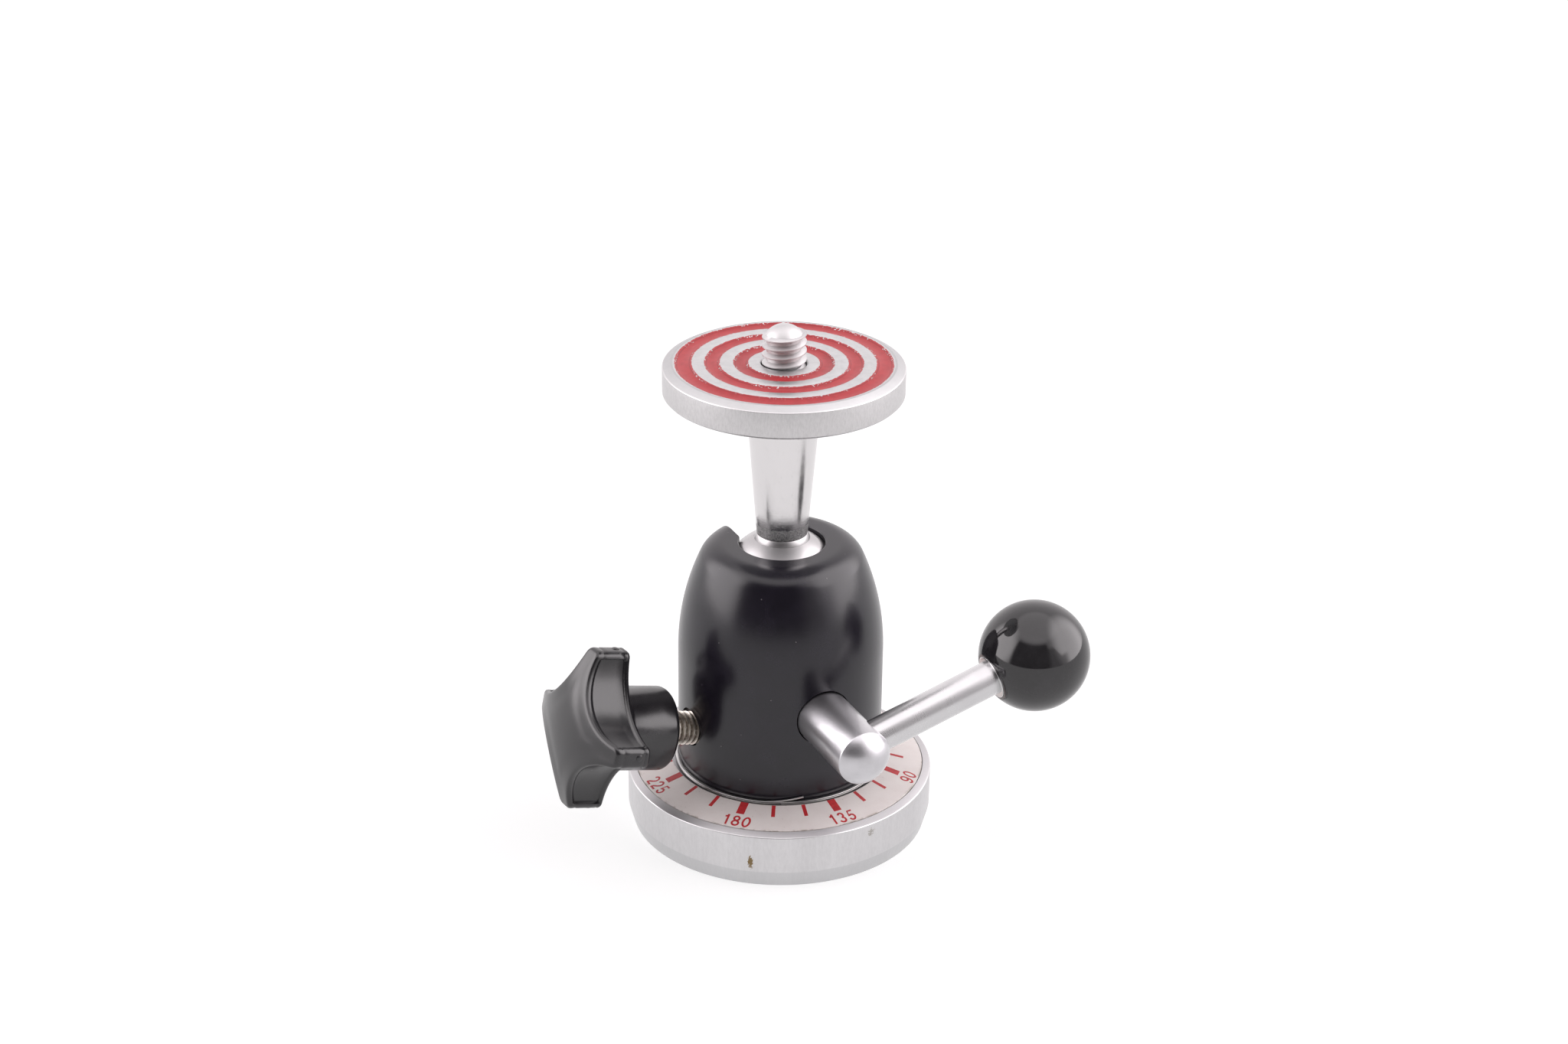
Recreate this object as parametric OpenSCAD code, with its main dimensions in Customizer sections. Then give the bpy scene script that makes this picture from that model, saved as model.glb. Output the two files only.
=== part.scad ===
// Small tripod ball head with a dial base, an eccentric ball clamp and a pan lock knob.
// The origin is the centre of the tripod face, on the pan axis. +Z points up to the camera.
// The clamp shaft points along -Y, the tilt notch faces +Y and the pan lock knob is on the -X side.

/* [Base and dial] */
// Diameter of the base disc
base_d = 45; // [42:0.5:52]
// Height of the upright side of the base disc
base_side_h = 8.2; // [7.5:0.1:11]
// Height of the chamfer at the lower edge of the base
base_chamfer_h = 2.6; // [0.5:0.1:4]
// Width of the chamfer at the lower edge of the base
base_chamfer_w = 0.7; // [0.2:0.1:1.5]
// Width of the bevel between the dial and the side of the base
bevel_w = 1.2; // [0.6:0.1:2]
// Height of the bevel between the dial and the side of the base
bevel_h = 0.48; // [0.2:0.02:1]
// Slope of the dial ring, falling outwards, in degrees
dial_slope = 13.3; // [6:0.1:16]
// Thickness of the dial ring
dial_t = 0.6; // [0.4:0.05:0.8]
// Thickness of the wire of the foot ring
wire_d = 0.44; // [0.3:0.02:0.6]
// Angle left open between the ends of the foot ring, in degrees
wire_gap = 4; // [2:1:12]

/* [Pan bearing] */
// Diameter of the wall of the tapped tripod hole, for a 3/8 inch screw
tripod_hole_d = 8; // [7.9:0.05:8.2]
// Depth of the tapped tripod hole
tripod_hole_depth = 9; // [6:0.5:11]
// Diameter of the spindle shank that is screwed into the base
shank_d = 16; // [14:0.5:18]
// Diameter of the spindle neck that the bush turns on
neck_d = 14; // [12.5:0.5:15]
// Diameter of the rim under the spindle's cone
spindle_rim_d = 17.8; // [16.8:0.1:18.2]
// Height of the spindle's cone
cone_h = 4.2; // [3.5:0.1:4.6]
// Thickness of the bush that closes the housing
bush_t = 3.05; // [2.5:0.05:3.4]
// Width of the wall of the bush between neck and housing
bush_w = 4.2; // [3.4:0.1:4.6]
// Thickness of the slip washer under the housing
washer_t = 0.3; // [0.2:0.05:0.6]

/* [Housing] */
// Diameter of the housing
housing_d = 30; // [28.5:0.1:31.5]
// Height of the top face of the housing above the tripod face
housing_top_z = 44.4; // [43.8:0.1:45]
// Height at which the side starts to curve inwards
dome_start_z = 27.5; // [24:0.5:30]
// Radius of the curve of the side
dome_r = 36; // [32:0.5:44]
// Radius of the shoulder between side and top face
shoulder_r = 3.9; // [2.5:0.1:5]
// Diameter of the mouth that the ball looks out of
mouth_d = 12.5; // [11.5:0.1:13.5]
// Width of the tilt notch
notch_w = 10; // [9.4:0.1:11]
// Height of the chamfer at the housing's foot
foot_chamfer_h = 1; // [0.5:0.1:1.5]
// Width of the chamfer at the housing's foot
foot_chamfer_w = 0.5; // [0.2:0.1:0.8]

/* [Ball and stem] */
// Diameter of the ball
ball_d = 18; // [17.4:0.1:18.6]
// Height of the ball's centre above the tripod face
ball_z = 37.1; // [36.8:0.1:37.4]
// Height of the small collar on top of the ball
collar_h = 0.8; // [0.5:0.1:1.4]
// Diameter of the collar where it leaves the ball
collar_d = 8.1; // [7.5:0.1:8.3]
// Diameter of the stem at its foot
stem_foot_d = 7.34; // [6.6:0.02:7.4]
// Diameter of the stem under the plate
stem_top_d = 10.86; // [9.6:0.02:12]
// Diameter of the stem's screw end in the ball
tenon_d = 4.9; // [4:0.1:5.5]
// Length of the stem's screw end in the ball
tenon_l = 9; // [6:0.5:12]

/* [Plate and camera screw] */
// Height of the top face of the plate above the tripod face
plate_top_z = 72.1; // [68:0.1:80]
// Diameter of the plate
plate_d = 34.2; // [33.5:0.1:40]
// Thickness of the plate
plate_t = 4.5; // [4:0.1:6]
// Width of the bevel round the plate's top face
plate_bevel_w = 1.2; // [0.4:0.1:1.4]
// Height of the bevel round the plate's top face
plate_bevel_h = 0.6; // [0.3:0.1:1]
// Outer diameter of the outer painted groove
groove_a_d = 30.8; // [30.2:0.1:31]
// Outer diameter of the middle painted groove
groove_b_d = 22.4; // [21.6:0.1:23]
// Outer diameter of the inner painted groove
groove_c_d = 14.2; // [13.8:0.1:15]
// Width of each painted groove
groove_w = 2.2; // [1.6:0.1:2.6]
// Depth of each painted groove
groove_depth = 0.3; // [0.15:0.05:0.5]
// Diameter of the camera screw, for a 1/4 inch thread
screw_d = 6.3; // [6.2:0.02:6.4]
// Diameter of the camera screw's lower end in the stem
screw_root_d = 5; // [4:0.1:5.4]
// Height of the camera screw above the plate
screw_h = 5.7; // [5:0.1:8]
// Height of the domed tip of the camera screw
screw_dome_h = 1.8; // [1:0.1:2]
// Diameter of the domed tip where it meets the thread
screw_dome_d = 5.3; // [4.6:0.1:5.8]
// Length of the camera screw inside the stem
screw_in_stem = 7; // [5:0.5:10]
// Diameter of the hole in the plate round the camera screw
screw_hole_d = 6.9; // [6.6:0.1:7.4]
// Diameter of the stem's spigot in the plate
spigot_d = 8.6; // [8:0.1:9.2]
// Height of the stem's spigot in the plate
spigot_h = 2.8; // [2:0.1:3]

/* [Ball clamp] */
// Diameter of the clamp shaft
shaft_d = 8; // [7:0.1:8.2]
// Height of the clamp shaft's axis above the tripod face
shaft_z = 22.87; // [22.8:0.01:22.94]
// Distance of the clamp shaft's front end from the pan axis
shaft_reach = 29.6; // [29:0.1:36]
// Height of the shaft's domed front end
shaft_dome_h = 2; // [0.4:0.1:2.2]
// Diameter of the eccentric
cam_d = 6; // [5.8:0.05:6]
// Throw of the eccentric
cam_throw = 0.5; // [0.45:0.01:0.5]
// Diameter of the shaft's rear journal
journal_d = 6; // [5:0.1:6.4]
// Depth of the rear journal in the housing's wall
journal_depth = 3.4; // [2:0.1:4.4]
// Diameter of the pin that keeps the shaft in place
keeper_d = 2; // [1.6:0.1:2.2]
// Depth of the shaft's groove for the keeper pin
keeper_groove = 0.6; // [0.4:0.1:1]
// Diameter of the lever rod
rod_d = 5; // [4:0.1:5.4]
// Distance of the lever rod's axis from the shaft's front end
rod_inset = 5.34; // [5.1:0.02:5.6]
// Distance from the shaft's axis to the centre of the ball knob
lever_l = 29.8; // [24:0.1:40]
// Angle of the lever above the level, in degrees
lever_rise = 16.6; // [0:0.1:40]
// Diameter of the ball knob
ball_knob_d = 16; // [14:0.5:20]
// Diameter of the flat of the ball knob, where the rod enters
knob_flat_d = 7.2; // [6.9:0.1:9]
// Diameter of the threaded insert of the ball knob
insert_d = 6.4; // [6:0.1:6.8]
// Length of the threaded insert of the ball knob
insert_l = 8; // [5:0.5:9]
// Height of the cup that presses on the ball
cup_h = 5.4; // [4:0.1:6.5]
// Diameter of the cup's middle hole
cup_hole_d = 3; // [2:0.1:5]
// Diameter of the wear plate under the cup
wear_d = 9; // [7:0.5:12]
// Thickness of the wear plate under the cup
wear_t = 0.6; // [0.4:0.05:0.8]

/* [Pan lock] */
// Turn of the pan lock round the pan axis, in degrees from +X
lock_turn = 183.6; // [176:0.1:188]
// Upward slope of the pan lock screw, in degrees
lock_rise = 14.3; // [12:0.1:16]
// Height at which the lock screw's axis meets the pan axis
lock_z = 13.75; // [13.6:0.05:14.1]
// Diameter of the lock screw
stud_d = 5; // [4:0.1:5]
// Length of the lock screw inside the knob
stud_in_knob = 8; // [5:0.5:11]
// Length of the brake pad
pad_l = 2.6; // [2:0.1:3.2]
// Distance from the pan axis to the inner end of the knob's hub, along the screw
hub_start = 20.3; // [19.6:0.1:24]
// Diameter of the knob's hub
hub_d = 12.2; // [10:0.1:12.6]
// Length of the knob's hub
hub_l = 7.9; // [6.8:0.1:12]
// Diameter over the lobes of the knob
knob_d = 24; // [23.6:0.1:24.6]
// Thickness of the lobes at their tips
lobe_t = 5.4; // [4:0.1:8]
// Rounding radius of the corners at the lobe tips
lobe_r = 1; // [0.8:0.1:1.4]
// Width of the flat at the lobe tips, between the rounded corners
lobe_flat = 1.2; // [0.6:0.1:2]
// Distance of the valleys between the lobes from the knob's axis
valley_r = 6.7; // [6.4:0.1:7.4]
// Height of the knob's domed face above the lobe tips
face_rise = 2.8; // [1.5:0.1:4]
// Width of the raised beads along the edges of the lobes
bead_w = 0.9; // [0.5:0.1:1.4]
// Height of the raised beads along the edges of the lobes
bead_h = 0.25; // [0.1:0.05:0.4]
// Turn of the lobes on the screw's axis, in degrees
lobe_turn = 4; // [0:0.1:45]

/* [Fits] */
// Gap round a turning or sliding fit
run_gap = 0.05; // [0.03:0.01:0.08]
// Gap round a screwed or pressed fit
set_gap = 0.02; // [0.01:0.01:0.04]
// Gap between the ball and its seats
seat_gap = 0.08; // [0.05:0.01:0.12]
// Gap between end faces that don't bear on each other
end_gap = 0.1; // [0.05:0.01:0.15]
// Free space between the ball chamber and the ball
chamber_gap = 0.35; // [0.3:0.01:0.4]

/* [Hidden] */
$fn = 96;

base_r = base_d / 2;
housing_r = housing_d / 2;
ball_r = ball_d / 2;
mouth_r = mouth_d / 2;
plate_r = plate_d / 2;
shaft_r = shaft_d / 2;
cam_r = cam_d / 2;
knob_r = knob_d / 2;
over = 1;

// The dial lies on a shallow cone round the housing's foot.
wire_room = wire_d + 2 * run_gap;
dial_in_r = housing_r + wire_room;
dial_out_r = base_r - bevel_w;
dial_out_z = base_side_h + bevel_h;
dial_in_z = dial_z(dial_in_r);

// Stack of the pan bearing, from the floor of the well upwards.
well_z = dial_in_z - 1;
base_seat_r = dial_out_r + set_gap;
foot_z = well_z + washer_t + run_gap;
bush_r = neck_d / 2 + bush_w;
bush_top_z = foot_z + bush_t;
rim_z = bush_top_z + run_gap;
rim_h = 0.6;
cone_z = rim_z + rim_h;
spindle_top_z = cone_z + cone_h;

// The pad meets the cone square to the lock screw's axis.
cone_low_r = spindle_rim_d / 2 - 0.24;
pad_start = cone_low_r * cos(lock_rise) + (cone_z - lock_z) * sin(lock_rise) + end_gap;
stud_start = pad_start + pad_l + run_gap;
stud_l = hub_start + stud_in_knob - stud_start;

// The chamber is bored from below, and the ball bears on a round seat under the mouth.
chamber_r = ball_r + chamber_gap;
seat_r = ball_r + seat_gap;
seat_step = 2;
dome_x = housing_r - dome_r;
shoulder_z = housing_top_z - shoulder_r;
shoulder_x = dome_x + sqrt(pow(dome_r - shoulder_r, 2) - pow(shoulder_z - dome_start_z, 2));
shoulder_turn = atan2(shoulder_z - dome_start_z, shoulder_x - dome_x);
shoulder_low_z = dome_start_z + dome_r * sin(shoulder_turn);

// Where the collar leaves the ball, and where the stem starts.
collar_low_z = ball_z + sqrt(pow(ball_r, 2) - pow(collar_d / 2, 2));
stem_z = collar_low_z + collar_h;
plate_z = plate_top_z - plate_t;

// The cam lifts the wear plate, and the cup sits on that.
cam_top_z = shaft_z + cam_throw + cam_r;
wear_z = cam_top_z + end_gap;
cup_z = wear_z;
cam_front_y = -chamber_r - 0.35;
cam_rear_y = chamber_r - 0.85;
journal_end_y = chamber_r + journal_depth;
keeper_y = (bush_r + housing_r) / 2 - 0.35;
keeper_r = keeper_d / 2;
keeper_top_z = shaft_z - shaft_r + keeper_groove - end_gap;
rod_y = shaft_reach - rod_inset;

// Lobes are tip corners joined by hollow valley circles that touch them.
tip_x = knob_r - lobe_r;
tip_y = lobe_flat / 2;
valley_x = (pow(tip_x, 2) + pow(tip_y, 2) - pow(valley_r - lobe_r, 2))
    / (2 * ((tip_x + tip_y) * cos(45) - valley_r + lobe_r));
valley_side = valley_x * cos(45);
touch_share = lobe_r / (lobe_r + valley_x - valley_r);
touch_x = tip_x + (valley_side - tip_x) * touch_share;
touch_y = tip_y + (valley_side - tip_y) * touch_share;
core_r = sqrt(pow(touch_x, 2) + pow(touch_y, 2)) + 0.1;
face_r = (pow(knob_r, 2) + pow(face_rise, 2)) / (2 * face_rise);
hub_top = hub_l + lobe_t;

// Height of the dial's face at a radius.
function dial_z(r) = dial_out_z + (dial_out_r - r) * tan(dial_slope);

module at_lock() {
    translate([0, 0, lock_z])
        rotate([0, 90 - lock_rise, lock_turn])
            children();
}

module at_lever() {
    translate([0, -rod_y, shaft_z])
        rotate([0, 90 - lever_rise, 0])
            children();
}

module along_y(y0, y1, r) {
    translate([0, y1, 0])
        rotate([90, 0, 0])
            cylinder(r = r, h = y1 - y0);
}

// Turned disc with a well for the housing's foot and a seat for the dial.
module base_disc() {
    color("gainsboro")
    rotate_extrude()
        polygon([
            [shank_d / 2 + set_gap, 0],
            [base_r - base_chamfer_w, 0],
            [base_r, base_chamfer_h],
            [base_r, base_side_h],
            [base_seat_r, dial_out_z],
            [base_seat_r, dial_z(base_seat_r) - dial_t],
            [dial_in_r, dial_z(dial_in_r) - dial_t],
            [dial_in_r, well_z],
            [shank_d / 2 + set_gap, well_z]
        ]);
}

module dial_ring() {
    color("wheat")
    rotate_extrude()
        polygon([
            [dial_in_r, dial_z(dial_in_r) - dial_t],
            [dial_out_r, dial_z(dial_out_r) - dial_t],
            [dial_out_r, dial_z(dial_out_r)],
            [dial_in_r, dial_z(dial_in_r)]
        ]);
}

// The spindle is screwed into the base and has the tapped tripod hole in its lower end.
module pan_spindle() {
    chamfer = 0.7;
    hole_r = tripod_hole_d / 2;
    color("silver")
    difference() {
        rotate_extrude()
            polygon([
                [0, 0],
                [shank_d / 2, 0],
                [shank_d / 2, well_z],
                [neck_d / 2, well_z],
                [neck_d / 2, rim_z],
                [spindle_rim_d / 2, rim_z],
                [spindle_rim_d / 2, cone_z],
                [cone_low_r, cone_z],
                [cone_low_r - cone_h * tan(lock_rise), spindle_top_z],
                [0, spindle_top_z]
            ]);
        rotate_extrude()
            polygon([
                [0, -over],
                [hole_r + chamfer + over, -over],
                [hole_r, chamfer],
                [hole_r, tripod_hole_depth],
                [0, tripod_hole_depth + hole_r * tan(30)]
            ]);
    }
}

module slip_washer() {
    color("ivory")
    translate([0, 0, well_z])
        difference() {
            cylinder(r = housing_r - foot_chamfer_w - run_gap, h = washer_t);
            translate([0, 0, -over])
                cylinder(r = shank_d / 2 + 2 * set_gap, h = washer_t + 2 * over);
        }
}

// Split wire ring that lies between the housing's foot and the dial.
module foot_ring() {
    color("silver")
    translate([0, 0, dial_in_z - wire_d / 2])
        rotate([0, 0, -110 + wire_gap / 2])
            rotate_extrude(angle = 360 - wire_gap)
                translate([housing_r + wire_room / 2, 0])
                    circle(d = wire_d, $fn = 32);
}

// Half section of the housing's outside, made of arcs that run into each other.
module housing_outline() {
    intersection() {
        translate([dome_x, dome_start_z])
            circle(r = dome_r, $fn = 360);
        translate([0, dome_start_z])
            square([housing_r, shoulder_low_z - dome_start_z]);
    }
    translate([shoulder_x, shoulder_z])
        circle(r = shoulder_r);
    translate([0, dome_start_z])
        square([shoulder_x, housing_top_z - dome_start_z]);
    polygon([
        [0, foot_z],
        [housing_r - foot_chamfer_w, foot_z],
        [housing_r, foot_z + foot_chamfer_h],
        [housing_r, dome_start_z],
        [0, dome_start_z]
    ]);
}

// Bullet-shaped casting: ball chamber, mouth, tilt notch, shaft bearings and lock bore.
module housing() {
    color("#26262a")
    difference() {
        rotate_extrude()
            housing_outline();
        translate([0, 0, foot_z - over])
            cylinder(r = bush_r + set_gap, h = bush_t + over);
        translate([0, 0, foot_z])
            cylinder(r = chamber_r, h = ball_z + seat_step - foot_z);
        translate([0, 0, ball_z])
            sphere(r = seat_r);
        translate([0, 0, ball_z])
            cylinder(r = mouth_r, h = housing_top_z - ball_z + over);
        translate([-notch_w / 2, 0, ball_z])
            cube([notch_w, housing_r + over, housing_top_z - ball_z + over]);
        translate([0, 0, ball_z])
            along_y(0, housing_r + over, notch_w / 2);
        translate([0, 0, shaft_z])
            along_y(-housing_r - over, 0, shaft_r + run_gap);
        translate([0, 0, shaft_z])
            along_y(0, journal_end_y + end_gap, journal_d / 2 + run_gap);
        translate([0, -keeper_y, foot_z - over])
            cylinder(r = keeper_r + set_gap, h = shaft_z - foot_z + over);
        at_lock()
            translate([0, 0, chamber_r / 2])
                cylinder(r = stud_d / 2 + run_gap, h = housing_r);
    }
}

module housing_bush() {
    color("darkgoldenrod")
    translate([0, 0, foot_z])
        difference() {
            cylinder(r = bush_r, h = bush_t);
            translate([0, 0, -over])
                cylinder(r = neck_d / 2 + run_gap, h = bush_t + 2 * over);
        }
}

// Dog-ended pin from below that runs in the clamp shaft's groove.
module shaft_keeper_pin() {
    color("dimgray")
    translate([0, -keeper_y, foot_z])
        cylinder(r = keeper_r, h = keeper_top_z - foot_z);
}

// Shaft with a domed front end, a keeper groove, a cam under the ball and a rear journal.
module clamp_shaft() {
    dome_sphere_r = (pow(shaft_r, 2) + pow(shaft_dome_h, 2)) / (2 * shaft_dome_h);
    front_y = -shaft_reach + shaft_dome_h;
    groove_l = keeper_d + 2 * run_gap;
    color("lightgray")
    difference() {
        translate([0, 0, shaft_z]) {
            along_y(front_y, cam_front_y, shaft_r);
            intersection() {
                translate([0, front_y + dome_sphere_r - shaft_dome_h, 0])
                    sphere(r = dome_sphere_r);
                along_y(-shaft_reach - over, front_y + over, shaft_r);
            }
            translate([0, 0, cam_throw])
                along_y(cam_front_y - over, cam_rear_y, cam_r);
            along_y(cam_rear_y - over, journal_end_y, journal_d / 2);
        }
        translate([0, 0, shaft_z])
            difference() {
                along_y(-keeper_y - groove_l / 2, -keeper_y + groove_l / 2, shaft_r + over);
                along_y(-keeper_y - groove_l, -keeper_y + groove_l, shaft_r - keeper_groove);
            }
        at_lever()
            translate([0, 0, -shaft_r / 2])
                cylinder(r = rod_d / 2 + set_gap, h = shaft_d);
    }
}

module lever_rod() {
    start = -shaft_r / 2 + end_gap;
    color("lightgray")
    at_lever()
        translate([0, 0, start])
            cylinder(d = rod_d, h = lever_l - start);
}

module ball_knob() {
    flat_z = lever_l - sqrt(pow(ball_knob_d / 2, 2) - pow(knob_flat_d / 2, 2));
    color("#1c1c1e")
    at_lever()
        difference() {
            translate([0, 0, lever_l])
                sphere(d = ball_knob_d);
            translate([0, 0, flat_z - ball_knob_d])
                cylinder(r = ball_knob_d, h = ball_knob_d);
            translate([0, 0, flat_z - over])
                cylinder(d = insert_d + 2 * set_gap, h = insert_l + over + end_gap);
        }
}

module ball_knob_insert() {
    flat_z = lever_l - sqrt(pow(ball_knob_d / 2, 2) - pow(knob_flat_d / 2, 2));
    color("silver")
    at_lever()
        translate([0, 0, flat_z])
            difference() {
                cylinder(d = insert_d, h = insert_l);
                translate([0, 0, -over])
                    cylinder(d = rod_d + 2 * set_gap, h = lever_l - flat_z + over + end_gap);
            }
}

// Cup with a hollow round seat for the ball.
module pressure_cup() {
    color("darkgoldenrod")
    difference() {
        translate([0, 0, cup_z])
            cylinder(r = chamber_r - run_gap, h = cup_h);
        translate([0, 0, ball_z])
            sphere(r = ball_r + seat_gap);
        translate([0, 0, cup_z - over])
            cylinder(d = cup_hole_d, h = cup_h);
        translate([0, 0, cup_z - over])
            cylinder(d = wear_d + 2 * set_gap, h = wear_t + over);
    }
}

module wear_plate() {
    color("gray")
    translate([0, 0, wear_z])
        cylinder(d = wear_d, h = wear_t);
}

// Outline of the lobed knob, drawn in by a small amount.
module lobes(inset) {
    difference() {
        union() {
            circle(r = core_r);
            for (turn = [0 : 90 : 270])
                rotate(turn)
                    for (side = [-1, 1])
                        translate([tip_x, side * tip_y])
                            circle(r = lobe_r - inset, $fn = 48);
            for (turn = [0, 90])
                rotate(turn) {
                    square([2 * tip_x, 2 * (tip_y + lobe_r - inset)], center = true);
                    square([2 * (knob_r - inset), 2 * tip_y], center = true);
                }
        }
        for (turn = [45 : 90 : 315])
            rotate(turn)
                translate([valley_x, 0])
                    circle(r = valley_x - valley_r + inset);
    }
}

// Dome over the face of the knob, lowered by a small amount.
module face_dome(drop) {
    translate([0, 0, hub_top + face_rise - face_r - drop])
        sphere(r = face_r, $fn = 180);
}

// Moulded knob: four lobes with beaded edges, a domed face and a round hub.
module lobed_knob() {
    color("#222224")
    at_lock()
        translate([0, 0, hub_start])
            difference() {
                union() {
                    cylinder(d = hub_d, h = hub_l + lobe_t);
                    rotate(lobe_turn) {
                        intersection() {
                            translate([0, 0, hub_l])
                                linear_extrude(lobe_t + face_rise)
                                    lobes(bead_h);
                            face_dome(0);
                        }
                        intersection() {
                            translate([0, 0, hub_l])
                                linear_extrude(lobe_t + face_rise)
                                    lobes(0);
                            difference() {
                                face_dome(0);
                                face_dome(bead_w);
                            }
                        }
                        translate([0, 0, hub_l])
                            linear_extrude(bead_w)
                                lobes(0);
                    }
                }
                translate([0, 0, -over])
                    cylinder(d = stud_d + 2 * set_gap, h = stud_in_knob + over + end_gap);
            }
}

module lock_stud() {
    color("tan")
    at_lock()
        translate([0, 0, stud_start])
            cylinder(d = stud_d, h = stud_l);
}

module brake_pad() {
    color("ivory")
    at_lock()
        translate([0, 0, pad_start])
            cylinder(d = stud_d, h = pad_l);
}

module ball() {
    color("gainsboro")
    difference() {
        union() {
            translate([0, 0, ball_z])
                sphere(r = ball_r);
            translate([0, 0, collar_low_z])
                cylinder(r1 = collar_d / 2, r2 = stem_foot_d / 2, h = collar_h);
        }
        translate([0, 0, stem_z - tenon_l - end_gap])
            cylinder(d = tenon_d + 2 * run_gap, h = tenon_l + end_gap + over);
    }
}

// Tapered stem with a screw end for the ball and a spigot for the plate.
module stem() {
    start_z = stem_z + run_gap;
    color("gainsboro")
    difference() {
        union() {
            translate([0, 0, stem_z - tenon_l])
                cylinder(d = tenon_d, h = tenon_l + over);
            translate([0, 0, start_z])
                cylinder(d1 = stem_foot_d, d2 = stem_top_d, h = plate_z - start_z);
            translate([0, 0, plate_z - over])
                cylinder(d = spigot_d, h = spigot_h + over - end_gap);
        }
        translate([0, 0, plate_z - screw_in_stem - end_gap])
            cylinder(d = screw_root_d + 2 * set_gap, h = screw_in_stem + spigot_h + 2 * over);
    }
}

// Round plate with three hollow grooves, each cut by a ring of round section.
module camera_plate() {
    groove_r = (pow(groove_w / 2, 2) + pow(groove_depth, 2)) / (2 * groove_depth);
    color("gainsboro")
    difference() {
        rotate_extrude()
            difference() {
                polygon([
                    [screw_hole_d / 2, plate_z],
                    [plate_r, plate_z],
                    [plate_r, plate_top_z - plate_bevel_h],
                    [plate_r - plate_bevel_w, plate_top_z],
                    [screw_hole_d / 2, plate_top_z]
                ]);
                for (d = [groove_a_d, groove_b_d, groove_c_d])
                    translate([(d - groove_w) / 2, plate_top_z + groove_r - groove_depth])
                        circle(r = groove_r);
            }
        translate([0, 0, plate_z - over])
            cylinder(d = spigot_d + 2 * set_gap, h = spigot_h + over);
    }
}

module camera_screw() {
    dome_base_z = plate_top_z + screw_h - screw_dome_h;
    dome_base_r = screw_dome_d / 2;
    dome_sphere_r = (pow(dome_base_r, 2) + pow(screw_dome_h, 2)) / (2 * screw_dome_h);
    bevel = screw_d / 2 - dome_base_r;
    color("silver")
    union() {
        translate([0, 0, plate_z - screw_in_stem])
            cylinder(d = screw_root_d, h = screw_in_stem + plate_t + over);
        translate([0, 0, plate_top_z])
            cylinder(d = screw_d, h = dome_base_z - bevel - plate_top_z);
        translate([0, 0, dome_base_z - bevel])
            cylinder(r1 = screw_d / 2, r2 = dome_base_r, h = bevel);
        intersection() {
            translate([0, 0, dome_base_z + screw_dome_h - dome_sphere_r])
                sphere(r = dome_sphere_r);
            translate([0, 0, dome_base_z - bevel])
                cylinder(r = dome_base_r, h = bevel + screw_dome_h + over);
        }
    }
}

base_disc();
dial_ring();
pan_spindle();
slip_washer();
foot_ring();
housing();
housing_bush();
shaft_keeper_pin();
clamp_shaft();
lever_rod();
ball_knob();
ball_knob_insert();
pressure_cup();
wear_plate();
lobed_knob();
lock_stud();
brake_pad();
ball();
stem();
camera_plate();
camera_screw();
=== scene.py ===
import math

import bpy
from mathutils import Matrix, Vector


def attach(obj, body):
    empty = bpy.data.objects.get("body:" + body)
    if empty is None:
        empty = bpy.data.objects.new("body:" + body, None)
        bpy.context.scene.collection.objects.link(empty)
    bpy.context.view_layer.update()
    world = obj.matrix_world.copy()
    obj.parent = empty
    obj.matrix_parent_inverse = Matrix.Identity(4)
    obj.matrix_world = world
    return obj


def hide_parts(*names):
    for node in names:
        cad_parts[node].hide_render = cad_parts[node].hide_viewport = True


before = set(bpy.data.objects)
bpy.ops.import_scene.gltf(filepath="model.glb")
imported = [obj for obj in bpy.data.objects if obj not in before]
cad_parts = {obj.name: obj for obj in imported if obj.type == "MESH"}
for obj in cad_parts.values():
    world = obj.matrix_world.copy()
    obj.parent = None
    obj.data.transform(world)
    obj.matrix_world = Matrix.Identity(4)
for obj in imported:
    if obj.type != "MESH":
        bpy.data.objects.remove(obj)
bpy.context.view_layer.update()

MM = 0.001

# Sizes and places that several pieces share, in millimetres, and slopes in degrees.
BASE_R, BASE_TOP_Z, SPINDLE_R = 22.5, 9.04, 8.0
DIAL_OUT_R, DIAL_OUT_Z = 21.3, 8.68
DIAL_SLOPE = math.tan(math.radians(13.3))
HOUSING_R, HOUSING_FOOT_Z = 15.0, 9.39
SHAFT_Z, SHAFT_R, SHAFT_REACH, JOURNAL_R = 22.87, 4.0, 29.6, 3.0
ROD_Y, ROD_R, ROD_END, ROD_RISE = -24.26, 2.5, 29.6, 16.6
LOCK_Z, LOCK_SIDE, LOCK_RISE = 13.75, 183.6, 14.3
BALL_Z, BALL_R = 37.1, 9.0
STEM_FOOT_Z, STEM_FOOT_R, STEM_SEAT_R = 45.99, 3.67, 4.3
PLATE_LOW_Z, PLATE_TOP_Z, PLATE_R = 67.6, 72.1, 17.1
SCREW_R = 2.5

# With no window open, transform.rotate turns the other way round.
TURN_SIGN = -1

# Clamp shaft, lever rod and lock screw run along their own axes.
SHAFT_FRAME = Matrix.Translation((0, 0, SHAFT_Z * MM)) @ Matrix.Rotation(math.radians(90), 4, "X")
LEVER_FRAME = (Matrix.Translation((0, ROD_Y * MM, SHAFT_Z * MM))
               @ Matrix.Rotation(math.radians(90 - ROD_RISE), 4, "Y"))
LOCK_FRAME = (Matrix.Translation((0, 0, LOCK_Z * MM)) @ Matrix.Rotation(math.radians(LOCK_SIDE), 4, "Z")
              @ Matrix.Rotation(math.radians(90 - LOCK_RISE), 4, "Y"))


def dial_height(radius):
    """Height of the dial's cone at a radius."""
    return DIAL_OUT_Z + (DIAL_OUT_R - radius) * DIAL_SLOPE


# ---------------------------------------------------------------- modelling

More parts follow.
